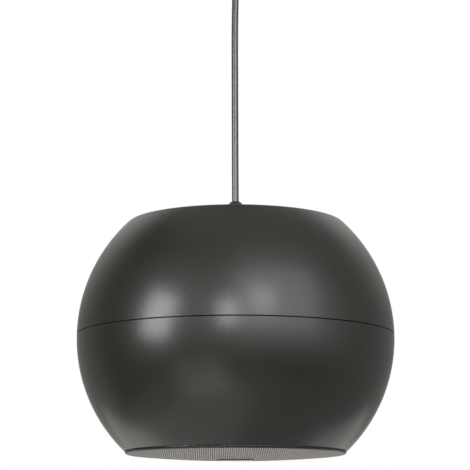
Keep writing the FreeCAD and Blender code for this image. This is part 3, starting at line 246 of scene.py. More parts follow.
def revolved(outline, steps=240, sectors=1, sector=0):
    """Closed outline carried round the upright axis: the point (r, z) at the angle a is at
    (r cos a, r sin a, z). Gives the points and the quads between them, of the whole turn or of one
    of its sectors."""
    r, z = outline.T
    if np.sum(r * np.roll(z, -1) - np.roll(r, -1) * z) < 0:
        r, z = r[::-1], z[::-1]
    spans = steps // sectors
    wide = spans if sectors == 1 else spans + 1
    angles = 2 * pi * (np.arange(wide) + sector * spans + 0.5) / steps
    points = np.stack((r[:, None] * np.cos(angles), r[:, None] * np.sin(angles),
                       np.repeat(z[:, None], wide, 1)), -1)
    row, column = np.meshgrid(np.arange(len(r)), np.arange(spans), indexing="ij")
    next_row, next_column = (row + 1) % len(r), (column + 1) % wide
    quads = np.stack((row * wide + column, row * wide + next_column,
                      next_row * wide + next_column, next_row * wide + column), -1)
    return points.reshape(-1, 3), quads.reshape(-1, 4)


def meshed(name, points, faces, material):
    """Mesh in one material from an array of points and a list of faces."""
    mesh = bpy.data.meshes.new(name)
    mesh.from_pydata(points.tolist(), [], faces)
    mesh.materials.append(material)
    return mesh


sharp_angle = radians(32)
rounded_angle = radians(40)
rounding_steps = 3


def placed(name, mesh, body, nodes, round_edge=0.0):
    """Object for a mesh: smooth faces, sharp edges rounded, riding on a body for its CAD nodes. With
    no body, it rides on none."""
    mesh.shade_smooth()
    mesh.set_sharp_from_angle(angle=sharp_angle)
    made = bpy.data.objects.new(name, mesh)
    bpy.context.scene.collection.objects.link(made)
    if round_edge:
        bevel = made.modifiers.new("rounded edges", "BEVEL")
        bevel.width = round_edge
        bevel.segments = rounding_steps
        bevel.limit_method = "ANGLE"
        bevel.angle_limit = rounded_angle
        bevel.harden_normals = True
    if body:
        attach(made, body)
    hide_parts(*nodes)
    return made


def add_piece(name, surface, material, body, nodes, round_edge=0.0):
    """Piece made of one closed surface, which is given as its points and quads."""
    points, quads = surface
    return placed(name, meshed(name, points, quads.tolist(), material), body, nodes, round_edge)


def moulded(name, color, roughness, grain_depth=0.000018):
    """Moulded plastic with a spark-eroded grain: a fine relief, and faint clouds in tone and gloss
    where the melt flowed."""
    finish = Finish(name)
    grain = finish.noise(2400, 3, roughness=0.6)
    clouds = finish.noise(14, 4)
    specks = finish.step(finish.noise(700, 1), 0.66, 0.78)
    dark = tuple(0.93 * part for part in color) + (1.0,)
    light = tuple(1.07 * part for part in color) + (1.0,)
    return finish.done({
        "Base Color": finish.mixed(dark, light, clouds * 0.8 + specks * 0.2),
        "Roughness": roughness - 0.04 + clouds * 0.06 + grain * 0.03,
        "Specular IOR Level": 0.45,
        "Normal": finish.bump(grain, grain_depth),
    })


body_radius = 0.155
upper_arc = 0.155
wall = 0.003
top_height = 0.1137
edge_round = 0.0052
gland_hole = 0.0083
rim_depth = 0.110
rim_radius = 0.108
seam_height = 0.0025
seam_gap = 0.0008
spigot_radius = 0.106
spigot_drop = 0.0012
bore_radius = 0.1035
ledge_radius = 0.096
ledge_rise = 0.012
ledge_thickness = 0.004
tongue_height = 0.006
tongue_wall = 0.0018
tongue_play = 0.0002
tongue_root = 0.007
shell_edge = 0.0003

upper_centre = body_radius - upper_arc
rim_inset = body_radius - rim_radius
lower_arc = (rim_inset ** 2 + rim_depth ** 2) / (2 * rim_inset)
lower_centre = body_radius - lower_arc
seam_above = seam_height + seam_gap / 2
seam_below = seam_height - seam_gap / 2
inner_top = top_height - wall


def upper_radius(level, inset=0.0):
    """Radius of the dome at a level above the widest line: centre + sqrt(arc^2 - level^2)."""
    return upper_centre + ((upper_arc - inset) ** 2 - level ** 2) ** 0.5


def lower_radius(level, inset=0.0):
    """Radius of the bowl at a level above the widest line: centre + sqrt(arc^2 - level^2)."""
    return lower_centre + ((lower_arc - inset) ** 2 - level ** 2) ** 0.5


round_level = top_height - edge_round
round_reach = ((upper_arc - edge_round) ** 2 - round_level ** 2) ** 0.5
stretch = upper_arc / (upper_arc - edge_round)
dome_outline = traced([
    (upper_radius(seam_above), seam_above, upper_arc, "left"),
    (upper_centre + round_reach * stretch, round_level * stretch, edge_round, "left"),
    (upper_centre + round_reach, top_height),
    (gland_hole, top_height),
    (gland_hole, inner_top),
    (upper_radius(inner_top, wall), inner_top, upper_arc - wall, "right"),
    (upper_radius(seam_above, wall), seam_above),
])
tongue_top = seam_height + tongue_height
tongue_outer = upper_radius(tongue_top, wall) - tongue_play
ledge_level = ledge_rise - rim_depth
ledge_top = ledge_level + ledge_thickness
bowl_outline = traced([
    (lower_radius(seam_below), seam_below, lower_arc, "right"),
    (rim_radius, -rim_depth),
    (spigot_radius, -rim_depth),
    (spigot_radius, -rim_depth - spigot_drop),
    (bore_radius, -rim_depth - spigot_drop),
    (bore_radius, ledge_level),
    (ledge_radius, ledge_level),
    (ledge_radius, ledge_top),
    (lower_radius(ledge_top, wall), ledge_top, lower_arc - wall, "left"),
    (lower_radius(-tongue_root, wall), -tongue_root),
    (tongue_outer - tongue_wall, -tongue_root + tongue_wall),
    (tongue_outer - tongue_wall, tongue_top),
    (tongue_outer, tongue_top),
    (tongue_outer, seam_below),
])
shell_plastic = moulded("shell_plastic", (0.018, 0.0183, 0.0150), roughness=0.27)
for name, node, outline in (("upper_dome", "upper_shell", dome_outline),
                            ("lower_bowl", "lower_shell", bowl_outline)):
    add_piece(name, revolved(outline + (0, widest)), shell_plastic, "hanging_unit", [node],
              round_edge=shell_edge)


# Grille. One perforated steel sheet, domed a little, with its edge turned up over the shell's
# spigot and the whole powder coated in satin black. The holes run right through the turned edge. It
# is two meshes, an inner and an outer one, as one would have too many triangles.
hole_pitch = 0.00235
hole_reach = 0.00082
lattice_turn = radians(0.7)
sheet_thickness = 0.001
grille_inset = 0.0007
grille_play = 0.0003
grille_turned = 0.0028
grille_round = 0.0024
grille_sag = 0.0049
inner_reach = 0.0985
least_run = 1e-9

flat_radius = rim_radius - grille_inset - grille_round
dome_arc = (flat_radius ** 2 + grille_sag ** 2) / (2 * grille_sag)
grille_top = widest - rim_depth - grille_play
grille_low = grille_top - grille_turned - grille_sag
dome_run = dome_arc * np.arcsin(flat_radius / dome_arc)
round_run = dome_run + grille_round * pi / 2
whole_run = round_run + grille_turned - grille_round


def pressed(flat, depth):
    """Point of the pressed sheet for a point of the flat blank. Its distance s from the middle runs
    over the dome, (R sin(s/R), R cos(s/R)), then round the edge, then up the turned rim; its
    direction stays, and depth goes in from the outer face along the normal."""
    run = np.hypot(flat[:, 0], flat[:, 1])
    direction = flat / np.maximum(run, least_run)[:, None]
    dome_angle = run / dome_arc
    bend = np.clip((run - dome_run) / grille_round, 0, pi / 2)
    rise = np.clip(run - round_run, 0, None)
    on_dome = run < dome_run
    angle = np.where(on_dome, dome_angle, bend)
    reach = np.where(on_dome, 0.0, flat_radius) + np.where(on_dome, dome_arc, grille_round) * np.sin(angle)
    level = np.where(on_dome, grille_low + dome_arc * (1 - np.cos(angle)),
                     grille_top - grille_turned + grille_round * (1 - np.cos(angle)) + rise)
    reach = reach - depth * np.sin(angle)
    level = level + depth * np.cos(angle)
    return np.c_[direction * reach[:, None], level]


def perforated():
    """Web of the flat blank: its points, strips and triangles. Hole (i, j) is centred at
    x = i p sqrt(3)/2 and y = (j + (i mod 2)/2) p, its six corners stand round it, strips join facing
    sides, and triangles fill in between three holes. Corners past the blank's edge go to it."""
    span = int(whole_run / hole_pitch) + 3
    row_span = span + span // 5
    i, j = np.meshgrid(np.arange(-row_span, row_span + 1), np.arange(-span, span + 1), indexing="ij")
    rows, columns = i.shape
    odd = np.abs(i) % 2
    centre = np.stack((i * hole_pitch * 0.75 ** 0.5, (j + odd / 2) * hole_pitch), -1)
    corner_angle = np.arange(6) * pi / 3
    corners = centre[:, :, None] + hole_reach * np.stack((np.cos(corner_angle), np.sin(corner_angle)), -1)
    first = (np.arange(rows * columns) * 6).reshape(rows, columns)
    right = np.arange(1, rows)[:, None]
    shift = (odd[:-1] == 1).astype(int)
    inner = np.arange(1, columns - 1)
    here = first[:-1, 1:-1]
    up_right = first[right, inner + shift[:, 1:-1]]
    down_right = first[right, inner + shift[:, 1:-1] - 1]
    above = first[:-1, 2:]
    strip_up = np.stack((here + 2, here + 1, above + 5, above + 4), -1)
    strip_right = np.stack((here + 1, here + 0, up_right + 4, up_right + 3), -1)
    strip_down = np.stack((here + 0, here + 5, down_right + 3, down_right + 2), -1)
    web_right = np.stack((here + 1, up_right + 3, above + 5), -1)
    web_down = np.stack((here + 0, down_right + 2, up_right + 4), -1)
    flat = corners.reshape(-1, 2)
    run = np.hypot(flat[:, 0], flat[:, 1])
    past = run > whole_run
    flat = flat * np.minimum(1, whole_run / np.maximum(run, least_run))[:, None]
    c, s = cos(lattice_turn), sin(lattice_turn)
    flat = flat @ np.array(((c, s), (-s, c)))
    quads = np.concatenate([part.reshape(-1, 4) for part in (strip_up, strip_right, strip_down)])
    triangles = np.concatenate([part.reshape(-1, 3) for part in (web_right, web_down)])
    return flat, quads[~past[quads].all(1), ::-1], triangles[~past[triangles].all(1), ::-1]


def thickened(flat, quads, triangles):
    """Solid sheet: the front faces, the same faces behind them, and a wall wherever a front edge
    belongs to one face only, which is round each hole and along the blank's edge."""
    count = len(flat)
    edges = np.concatenate([np.stack((part, np.roll(part, -1, 1)), -1).reshape(-1, 2)
                            for part in (quads, triangles)])
    key = np.sort(edges, 1) @ (count, 1)
    _, place, times = np.unique(key, return_index=True, return_counts=True)
    rim = edges[place[times == 1]]
    walls = np.stack((rim[:, 1], rim[:, 0], rim[:, 0] + count, rim[:, 1] + count), -1)
    points = np.concatenate((pressed(flat, 0.0), pressed(flat, sheet_thickness)))
    fours = np.concatenate((quads, quads[:, ::-1] + count, walls))
    threes = np.concatenate((triangles, triangles[:, ::-1] + count))
    return points, fours.tolist() + threes.tolist()


def powder_coat():
    """Satin black powder coat: a fine orange peel in the relief and a slight change of gloss."""
    finish = Finish("grille_steel")
    peel = finish.noise(1500, 2)
    clouds = finish.noise(25, 3)
    return finish.done({
        "Base Color": finish.mixed(grey(0.015, 0.02), grey(0.021, 0.03), clouds),
        "Roughness": 0.26 + peel * 0.08,
        "Specular IOR Level": 0.6,
        "Normal": finish.bump(peel, 0.00002),
    })


grille_steel = powder_coat()
blank, strips, webs = perforated()
blank_run = np.hypot(blank[:, 0], blank[:, 1])
for name, inside in (("grille_dome", True), ("grille_edge", False)):
    some_strips, some_webs = (part[(blank_run[part].mean(1) < inner_reach) == inside]
                              for part in (strips, webs))
    used, places = np.unique(np.concatenate((some_strips.ravel(), some_webs.ravel())), return_inverse=True)
    points, faces = thickened(blank[used], places[:some_strips.size].reshape(-1, 4),
                              places[some_strips.size:].reshape(-1, 3))
    made = bpy.data.objects.new(name, meshed(name, points, faces, grille_steel))
    bpy.context.scene.collection.objects.link(made)
    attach(made, "hanging_unit")
    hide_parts("grille")


# Badge. A small plain plate of satin aluminium, punched, with its edge rolled over, and glued to
# the grille's middle a little askew. It is brushed along its length.
merge_distance = 0.000001
flat_angle = radians(0.5)


def welded(node, material, body="hanging_unit", edge=0.0003):
    """Copy of a CAD node with its triangles joined and its edges rounded, which stands for it."""
    shape = bmesh.new()
    shape.from_mesh(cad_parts[node].data)
    bmesh.ops.remove_doubles(shape, verts=shape.verts, dist=merge_distance)
    bmesh.ops.dissolve_limit(shape, angle_limit=flat_angle, verts=shape.verts, edges=shape.edges)
    mesh = bpy.data.meshes.new(node + "_made")
    shape.to_mesh(mesh)
    shape.free()
    mesh.materials.clear()
    mesh.materials.append(material)
    return placed(node + "_made", mesh, body, [node], edge)


def brushed_aluminium():
    """Satin aluminium with fine brush lines along the plate and a soft change of gloss."""
    finish = Finish("badge_metal")
    brushing = finish.noise(1.0, 3, finish.stretched(500, 9000, 9000))
    clouds = finish.noise(120, 2)
    return finish.done({
        "Base Color": finish.mixed(grey(0.36, 0.01), grey(0.46, 0.02), brushing),
        "Metallic": 1.0,
        "Roughness": 0.30 + clouds * 0.12,
        "Normal": finish.bump(brushing, 0.000004),
    })


welded("badge_plate", brushed_aluminium(), edge=0.00035)


# Cable gland. Black nylon: a washer under the flange, the threaded body, a rubber sleeve and the
# domed nut that squeezes it round the cord. The lock nut holds it from inside.
gland_nylon = moulded("gland_nylon", (0.020, 0.020, 0.020), roughness=0.36, grain_depth=0.00001)
for node in ("gland_body", "gland_nut", "gland_lock_nut"):
    welded(node, gland_nylon, edge=0.00025)


def foam(name, color, pore_size, depth):
    """Closed-cell rubber: small pores that dip into the face and are painted darker inside, as shade."""
    finish = Finish(name)
    pores = finish.node("ShaderNodeTexVoronoi", {"feature": "F1"},
                        {"Vector": finish.place, "Scale": 1 / pore_size})
    clouds = finish.noise(90, 3)
    dark = tuple(0.5 * part for part in color) + (1.0,)
    return finish.done({
        # Painted shade: each pore's colour darkens towards its middle, where it dips.
        "Base Color": finish.mixed(dark, color + (1.0,), finish.step(pores, 0.1, 0.5)),
        "Roughness": 0.75 + clouds * 0.15,
        "Specular IOR Level": 0.3,
        "Normal": finish.bump(pores, depth),
    })


soft_edge = 0.0002
gasket_foam = foam("gasket_foam", (0.022, 0.022, 0.022), pore_size=0.0005, depth=0.00008)
for node in ("gland_washer", "gland_seal", "baffle_gasket"):
    welded(node, gasket_foam, edge=soft_edge)


# Hanging hardware. A steel load plate spreads the weight under the flat top, three screws hold it,
# and a bracket with a saddle clamps the cord. All is zinc plated, the screws in black zinc.
def plated(name, color, roughness, lines=(300, 300, 300)):
    """Plated or bare metal: clouds in the layer, a few stains, and fine rolling or grinding lines."""
    finish = Finish(name)
    clouds = finish.noise(70, 3)
    rolling = finish.noise(1.0, 2, finish.stretched(*lines))
    stain = finish.step(finish.noise(160, 2), 0.62, 0.75)
    dull = tuple(0.82 * part for part in color) + (1.0,)
    return finish.done({
        "Base Color": finish.mixed(color + (1.0,), dull, clouds * 0.7 + stain * 0.3),
        "Metallic": 1.0,
        "Roughness": roughness + clouds * 0.10 + stain * 0.08,
        "Normal": finish.bump(rolling, 0.000005),
    })


plate_edge = 0.0002
screw_edge = 0.00012
zinc_steel = plated("zinc_steel", (0.60, 0.60, 0.58), roughness=0.34, lines=(3000, 90, 3000))
screw_steel = plated("screw_steel", (0.30, 0.30, 0.29), roughness=0.32)
for node in ("load_plate", "clamp_bracket", "clamp_saddle"):
    welded(node, zinc_steel, edge=plate_edge)
for node in ("plate_screws", "clamp_screws"):
    welded(node, screw_steel, edge=screw_edge)


# Ceiling canopy. A moulded cup in the shells' plastic that hides the bracket. Two side screws hold
# it, and in its hole sit the cord grip and the collar that carries the weight.
canopy_radius = 0.045
canopy_depth = 0.029
canopy_round = 0.005
canopy_wall = 0.0015
grip_radius = 0.007
canopy_inside = canopy_radius - canopy_wall
canopy_outline = traced([
    (grip_radius, -canopy_depth),
    (canopy_radius - canopy_round, -canopy_depth, canopy_round, "left"),
    (canopy_radius, -canopy_depth + canopy_round),
    (canopy_radius, 0.0),
    (canopy_inside, 0.0),
    (canopy_inside, -canopy_depth + canopy_round, canopy_round - canopy_wall, "right"),
    (canopy_radius - canopy_round, -canopy_depth + canopy_wall),
    (grip_radius, -canopy_depth + canopy_wall),
], turn=radians(8))
cord_pieces = [
    add_piece("canopy_cup", revolved(canopy_outline, steps=180), shell_plastic, "hanging_unit",
              ["ceiling_canopy"], round_edge=shell_edge),
    welded("cord_grip", gland_nylon),
    welded("cord_collar", zinc_steel),
    welded("ceiling_bracket", zinc_steel),
    welded("canopy_screws", screw_steel, edge=screw_edge),
]


# Baffle. A ribbed black moulding that closes the bowl and carries the woofer, the tweeter's guard
# and the selector. Six screws pull it onto its foam gasket.
baffle_plastic = moulded("baffle_plastic", (0.018, 0.018, 0.018), roughness=0.46, grain_depth=0.00003)
welded("baffle", baffle_plastic)
for node in ("baffle_screws", "woofer_screws"):
    welded(node, screw_steel, edge=screw_edge)


# Woofer frame and motor. A pressed steel basket in black paint, and behind it a ferrite ring
# between two zinc plated plates, glued in one stack round the pole.
def enamel(name, color, roughness):
    """Sprayed or dipped paint: an orange peel in the relief and dust under the coat."""
    finish = Finish(name)
    peel = finish.noise(900, 2)
    dust = finish.step(finish.noise(1600, 1), 0.70, 0.80)
    light = tuple(1.6 * part + 0.004 for part in color) + (1.0,)
    return finish.done({
        "Base Color": finish.mixed(color + (1.0,), light, dust * 0.5),
        "Roughness": roughness + peel * 0.06,
        "Coat Weight": 0.15,
        "Normal": finish.bump(peel, 0.00003),
    })


def sintered():
    """Pressed and fired ferrite: dark grey, matt, with pits and clouds of pale dust."""
    finish = Finish("ferrite")
    pits = finish.node("ShaderNodeTexVoronoi", {"feature": "F1"}, {"Vector": finish.place, "Scale": 900.0})
    dust = finish.noise(220, 4)
    return finish.done({
        "Base Color": finish.mixed(grey(0.045, -0.02), grey(0.10, -0.02), finish.step(dust, 0.45, 0.75)),
        "Roughness": 0.62 + dust * 0.12,
        "Normal": finish.bump(pits, 0.00006),
    })


basket_paint = enamel("basket_paint", (0.018, 0.018, 0.018), roughness=0.34)
welded("woofer_basket", basket_paint)
for node in ("motor_front_plate", "motor_back_plate"):
    welded(node, zinc_steel)
welded("motor_magnet", sintered(), edge=0.0006)


# Cone unit. Paper cone, half-roll rubber surround, corrugated cloth spider and the voice coil on
# its former. The cone and the coil ride on one body; the surround and the spider, in sectors, ride
# on none. The cone's and the surround's outlines start from the level of the basket's front face.
front_level = -0.494
coil_outer = 0.0133
cone_edge = 0.002
cone_sheet = 0.0008
cone_radius = 0.060
cone_land = 0.0024
cone_arc = 0.110
cone_neck = 0.025
cone_neck_wall = 0.0011
surround_inner = 0.057
surround_outer = 0.0742
roll_inner = 0.0608
roll_outer = 0.0696
roll_arc = 0.0047
spider_sheet = 0.0006
spider_inner = 0.0403
spider_outer = 0.0473
spider_waves = 8
spider_arc = 0.002


def pulp():
    """Pressed paper pulp: short fibres lying every way, and cloudy blotches of dye."""
    finish = Finish("cone_paper")
    fibres = finish.noise(1.0, 5, finish.stretched(900, 900, 2600), 0.7)
    clouds = finish.noise(45, 3)
    return finish.done({
        "Base Color": finish.mixed(grey(0.024), grey(0.055, 0.02), fibres * 0.6 + clouds * 0.4),
        "Roughness": 0.78 + fibres * 0.12,
        "Specular IOR Level": 0.3,
        "Normal": finish.bump(fibres, 0.00012),
    })


def rubber():
    """Soft black rubber with a bloom of dust on it."""
    finish = Finish("surround_rubber")
    dust = finish.noise(260, 4, roughness=0.65)
    return finish.done({
        "Base Color": finish.mixed(grey(0.012), grey(0.030, 0.03), finish.step(dust, 0.4, 0.8)),
        "Roughness": 0.50 + dust * 0.15,
        "Specular IOR Level": 0.4,
        "Normal": finish.bump(dust, 0.00002),
    })


def woven(name, low, high, thread, depth, roughness):
    """Plain weave: threads cross at that spacing, height = sin(x) sin(y) in turns of the spacing. The
    colour is painted darker where the weave dips, as shade, mixed with random fuzz in tone.
    """
    finish = Finish(name)
    turn = 2 * pi / thread
    weave = 0.5 + (finish.along(0) * turn).sine() * (finish.along(1) * turn).sine() * 0.5
    fuzz = finish.noise(1800, 2)
    return finish.done({
        # Painted shade: the low colour goes where the weave dips, mixed with random fuzz.
        "Base Color": finish.mixed(low, high, weave * 0.6 + fuzz * 0.4),
        "Roughness": roughness + fuzz * 0.1,
        "Specular IOR Level": 0.25,
        "Normal": finish.bump(weave, depth),
    })


def flexing_ring(name, outline, steps, sectors, material, node, held):
    """Ring in closed sectors, which ride on no body. The held radius is drawn in to where the chord
    between a sector's corners lies, and is not used after that."""
    held *= cos(pi / sectors)
    for sector in range(sectors):
        points, quads = revolved(outline, steps, sectors=sectors, sector=sector)
        mesh = meshed(f"{name}_{sector + 1}", points, quads.tolist(), material)
        shape = bmesh.new()
        shape.from_mesh(mesh)
        bmesh.ops.edgeloop_fill(shape, edges=[edge for edge in shape.edges if edge.is_boundary])
        bmesh.ops.recalc_face_normals(shape, faces=shape.faces)
        shape.to_mesh(mesh)
        shape.free()
        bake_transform(placed(mesh.name, mesh, None, [node]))


cone_outline = traced([
    (coil_outer, cone_neck, cone_arc, "left"),
    (cone_radius - cone_land, cone_edge),
    (cone_radius, cone_edge),
    (cone_radius, cone_edge + cone_sheet),
    (cone_radius - cone_land + cone_sheet / 2, cone_edge + cone_sheet, cone_arc + cone_sheet, "right"),
    (coil_outer, cone_neck + cone_neck_wall),
])
add_piece("paper_cone", revolved(cone_outline + (0, front_level), steps=180), pulp(), "cone_unit",
          ["woofer_cone"])
lip_front = cone_edge - cone_sheet
surround_outline = traced([
    (surround_outer, 0.0),
    (surround_outer, -cone_sheet),
    (roll_outer, -cone_sheet, roll_arc, "right"),
    (roll_inner, lip_front),
    (surround_inner, lip_front),
    (surround_inner, cone_edge),
    (roll_inner + cone_sheet, cone_edge, roll_arc - cone_sheet, "left"),
    (roll_outer - cone_sheet, 0.0),
], turn=radians(6))
flexing_ring("rubber_surround", surround_outline + (0, front_level), steps=180, sectors=20,
             material=rubber(), node="woofer_surround", held=roll_outer)
stops = np.linspace(coil_outer, spider_inner, spider_waves + 1)
sides = ["left" if number % 2 else "right" for number in range(spider_waves + 1)]
spider_outline = traced(
    [(stop, -spider_sheet, spider_arc, side) for stop, side in zip(stops[:-1], sides)]
    + [(stops[-1], -spider_sheet), (spider_outer, -spider_sheet), (spider_outer, 0.0)]
    + [(stops[number], 0.0, spider_arc, sides[number]) for number in range(spider_waves, 0, -1)]
    + [(stops[0], 0.0)], turn=radians(12))
spider_rise = spider_arc - (spider_arc ** 2 - ((stops[1] - stops[0]) / 2) ** 2) ** 0.5
spider_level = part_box("woofer_spider")[1].z - spider_rise
spider_cloth = woven("spider_cloth", (0.30, 0.17, 0.05, 1.0), (0.52, 0.33, 0.12, 1.0), thread=0.0009,
                     depth=0.00012, roughness=0.75)
flexing_ring("cloth_spider", spider_outline + (0, spider_level), steps=144, sectors=12,
             material=spider_cloth, node="woofer_spider", held=spider_inner)


def wound(name, axis, wire):
    """Enamelled copper wire in close turns: height = sine along the winding's axis, in turns. The
    colour is painted darker between the turns, as shade, mixed with random clouds.
    """
    finish = Finish(name)
    turns = 0.5 + (finish.along(axis) * (2 * pi / wire)).sine() * 0.5
    clouds = finish.noise(200, 2)
    between, crest = (0.42, 0.14, 0.05, 1.0), (0.68, 0.30, 0.14, 1.0)
    return finish.done({
        # Painted shade: the colour between the turns is darker than on their crests, mixed with random
        # clouds.
        "Base Color": finish.mixed(between, crest, turns * 0.6 + clouds * 0.4),
        "Metallic": 0.9,
        "Roughness": 0.26 + clouds * 0.08,
        "Normal": finish.bump(turns, 0.00012),
    })


thin_edge = 0.0001
copper_wire = wound("copper_wire", axis=2, wire=0.0007)
welded("voice_coil", copper_wire, "cone_unit", edge=thin_edge)


# Tag strip. A strip of brown fibre board on the basket with two tinned tags, where the leads from
# the crossover are soldered to the coil's own.
def fibre_board():
    """Brown phenolic paper board with lengthwise fibres."""
    finish = Finish("tag_fibre")
    fibres = finish.noise(1.0, 4, finish.stretched(400, 5000, 5000))
    return finish.done({
        "Base Color": finish.mixed((0.10, 0.042, 0.016, 1.0), (0.22, 0.10, 0.042, 1.0), fibres),
        "Roughness": 0.5 + fibres * 0.15,
        "Normal": finish.bump(fibres, 0.00002),
    })


tag_brass = plated("tag_brass", (0.60, 0.55, 0.45), roughness=0.30)
welded("tag_strip", fibre_board(), edge=thin_edge)
welded("solder_tags", tag_brass, edge=thin_edge)


# Tweeter. A small dome driver on a steel post through the woofer's pole, with a moulded guard in
# front. The dome is coated silk.
tweeter_plastic = moulded("tweeter_plastic", (0.016, 0.016, 0.016), roughness=0.40, grain_depth=0.00001)
dome_silk = woven("dome_silk", grey(0.050), grey(0.12), thread=0.00035, depth=0.00003, roughness=0.42)
welded("tweeter_post", zinc_steel, edge=plate_edge)
for node in ("tweeter_housing", "tweeter_guard"):
    welded(node, tweeter_plastic, edge=plate_edge)
welded("tweeter_dome", dome_silk, edge=thin_edge)


# Power tap selector. A moulded switch beside the woofer with a slotted grey knob, turned by a
# screwdriver once the grille is off.
selector_plastic = moulded("selector_plastic", (0.05, 0.05, 0.05), roughness=0.45)
knob_plastic = moulded("knob_plastic", (0.48, 0.48, 0.46), roughness=0.42)
welded("selector_switch", selector_plastic, edge=plate_edge)
welded("selector_knob", knob_plastic, "selector", edge=0.00025)


# Line transformer. A stack of varnished laminations, a taped winding and a steel strap that holds
# it under the load plate.
sheet_spacing = 0.0005
tape_lap = 0.0045


def laminated():
    """Edges of thin sheets under varnish: fine lines across the stack, brown in the gaps."""
    finish = Finish("core_steel")
    sheets = 0.5 + (finish.along(1) * (2 * pi / sheet_spacing)).sine() * 0.5
    clouds = finish.noise(120, 3)
    varnish, steel = (0.16, 0.13, 0.10, 1.0), (0.38, 0.37, 0.36, 1.0)
    return finish.done({
        "Base Color": finish.mixed(varnish, steel, sheets * 0.6 + clouds * 0.4),
        "Metallic": 0.8,
        "Roughness": 0.34 + clouds * 0.15,
        "Coat Weight": 0.2,
        "Normal": finish.bump(sheets, 0.00004),
    })


def taped():
    """Yellow polyester tape in overlapping turns, whose edges show as low steps."""
    finish = Finish("winding_tape")
    lap = (finish.along(2) * (1 / tape_lap)).fraction()
    clouds = finish.noise(90, 3)
    amber, yellow = (0.62, 0.44, 0.09, 1.0), (0.78, 0.60, 0.18, 1.0)
    return finish.done({
        "Base Color": finish.mixed(amber, yellow, lap * 0.5 + clouds * 0.5),
        "Roughness": 0.28 + clouds * 0.12,
        "Normal": finish.bump(lap, 0.00006),
    })


welded("transformer_core", laminated(), edge=plate_edge)
welded("transformer_winding", taped(), edge=0.0012)
welded("transformer_strap", zinc_steel, edge=plate_edge)


# Terminal block and crossover. The ceiling cord is screwed into a green nylon block. A small board
# beside it carries an air-cored coil and a film capacitor.
terminal_plastic = moulded("terminal_plastic", (0.045, 0.22, 0.06), roughness=0.36)
welded("terminal_block", terminal_plastic)
board_thread = 0.0012


def laminate():
    """Glass cloth board under green lacquer: the cloth's weave shows through as a faint grid."""
    finish = Finish("board_laminate")
    turn = 2 * pi / board_thread
    weave = 0.5 + (finish.along(0) * turn).sine() * (finish.along(1) * turn).sine() * 0.5
    tracks = finish.step(finish.node("ShaderNodeTexVoronoi", {"feature": "DISTANCE_TO_EDGE"},
                                     {"Vector": finish.place, "Scale": 140.0}), 0.08, 0.12)
    track, lacquer = (0.05, 0.20, 0.05, 1.0), (0.09, 0.27, 0.08, 1.0)
    return finish.done({
        "Base Color": finish.mixed(track, lacquer, weave * 0.4 + tracks * 0.6),
        "Roughness": 0.30 + weave * 0.08,
        "Normal": finish.bump(tracks, 0.00003),
    })


capacitor_film = enamel("capacitor_film", (0.60, 0.38, 0.06), roughness=0.22)
welded("crossover_board", laminate(), edge=thin_edge)
welded("crossover_inductor", copper_wire)
welded("crossover_capacitor", capacitor_film, edge=0.001)


# Wadding. A sheet of white polyester fibre that lines the upper shell and stops its echo. It is
# only pushed in, so its inner face is lumpy.
wadding_gap = 0.0003
wadding_play = 0.0001
wadding_thickness = 0.012
wadding_lump = 0.004
wadding_arc = upper_arc - wall - wadding_gap
wadding_low, wadding_high = (corner.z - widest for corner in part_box("wadding"))
wadding_steps = 200
wadding_rows = 40


def fibre():
    """Loose white fibre: fine crossing threads in relief, with the colour painted darker where the
    relief is low, as shade between the threads.
    """
    finish = Finish("wadding_fibre")
    threads = finish.noise(700, 6, roughness=0.75)
    return finish.done({
        # Painted shade: the fibre is darker where its relief is low.
        "Base Color": finish.mixed(grey(0.62, 0.02), grey(0.86, 0.01), threads),
        "Roughness": 0.95,
        "Specular IOR Level": 0.15,
        "Normal": finish.bump(threads, 0.0009),
    })


def lining():
    """Closed lining of the dome. A point at the level h and the angle a has the dome's radius less a
    gap, or that less the thickness and plus lumps: a sum of sines, which at both ends gives way to
    the full height of a lump, where the lining thins out."""
    level = wadding_low + (wadding_high - wadding_low) * np.linspace(0, 1, wadding_rows)
    angle = 2 * pi * np.arange(wadding_steps) / wadding_steps
    h, a = np.meshgrid(level, angle, indexing="ij")
    ends = np.sin(pi * (h - wadding_low) / (wadding_high - wadding_low)) ** 0.4
    broad = np.sin(9 * a + 60 * h) * np.sin(5 * a - 130 * h + 1)
    narrow = np.sin(17 * a + 210 * h)
    lumps = wadding_lump * (1 - ends * (0.5 - 0.25 * broad - 0.25 * narrow))
    outer = upper_centre + np.sqrt((wadding_arc - wadding_play) ** 2 - h ** 2)
    inner = upper_centre + np.sqrt((wadding_arc - wadding_thickness) ** 2 - h ** 2) + lumps
    radius = np.concatenate((outer, inner[::-1]))
    height = np.concatenate((h, h[::-1])) + widest
    whole = np.tile(a, (2, 1))
    points = np.stack((radius * np.cos(whole), radius * np.sin(whole), height), -1).reshape(-1, 3)
    row, column = np.meshgrid(np.arange(2 * wadding_rows), np.arange(wadding_steps), indexing="ij")
    below, beside = (row + 1) % (2 * wadding_rows), (column + 1) % wadding_steps
    quads = np.stack((row * wadding_steps + column, row * wadding_steps + beside,
                      below * wadding_steps + beside, below * wadding_steps + column), -1)
    return points, quads.reshape(-1, 4)


wadding = add_piece("wadding_sheet", lining(), fibre(), "hanging_unit", ["wadding"])


# Floor and light. A plain white studio with a pale floor far below, four soft boxes in front and
# three low reflectors. Only reflections see the glowing cloth all round. It is no lamp, and it paints
# the reflections of a lit studio on the object. It glows dimly at the left and low in front and more
# brightly elsewhere, so that the satin shells show dark fields between the highlights.
def stage_piece(name, points, faces, material):
    """Part of the studio, which isn't part of the object."""
    made = bpy.data.objects.new(name, meshed(name, points, faces, material))
    bpy.context.scene.collection.objects.link(made)
    return made


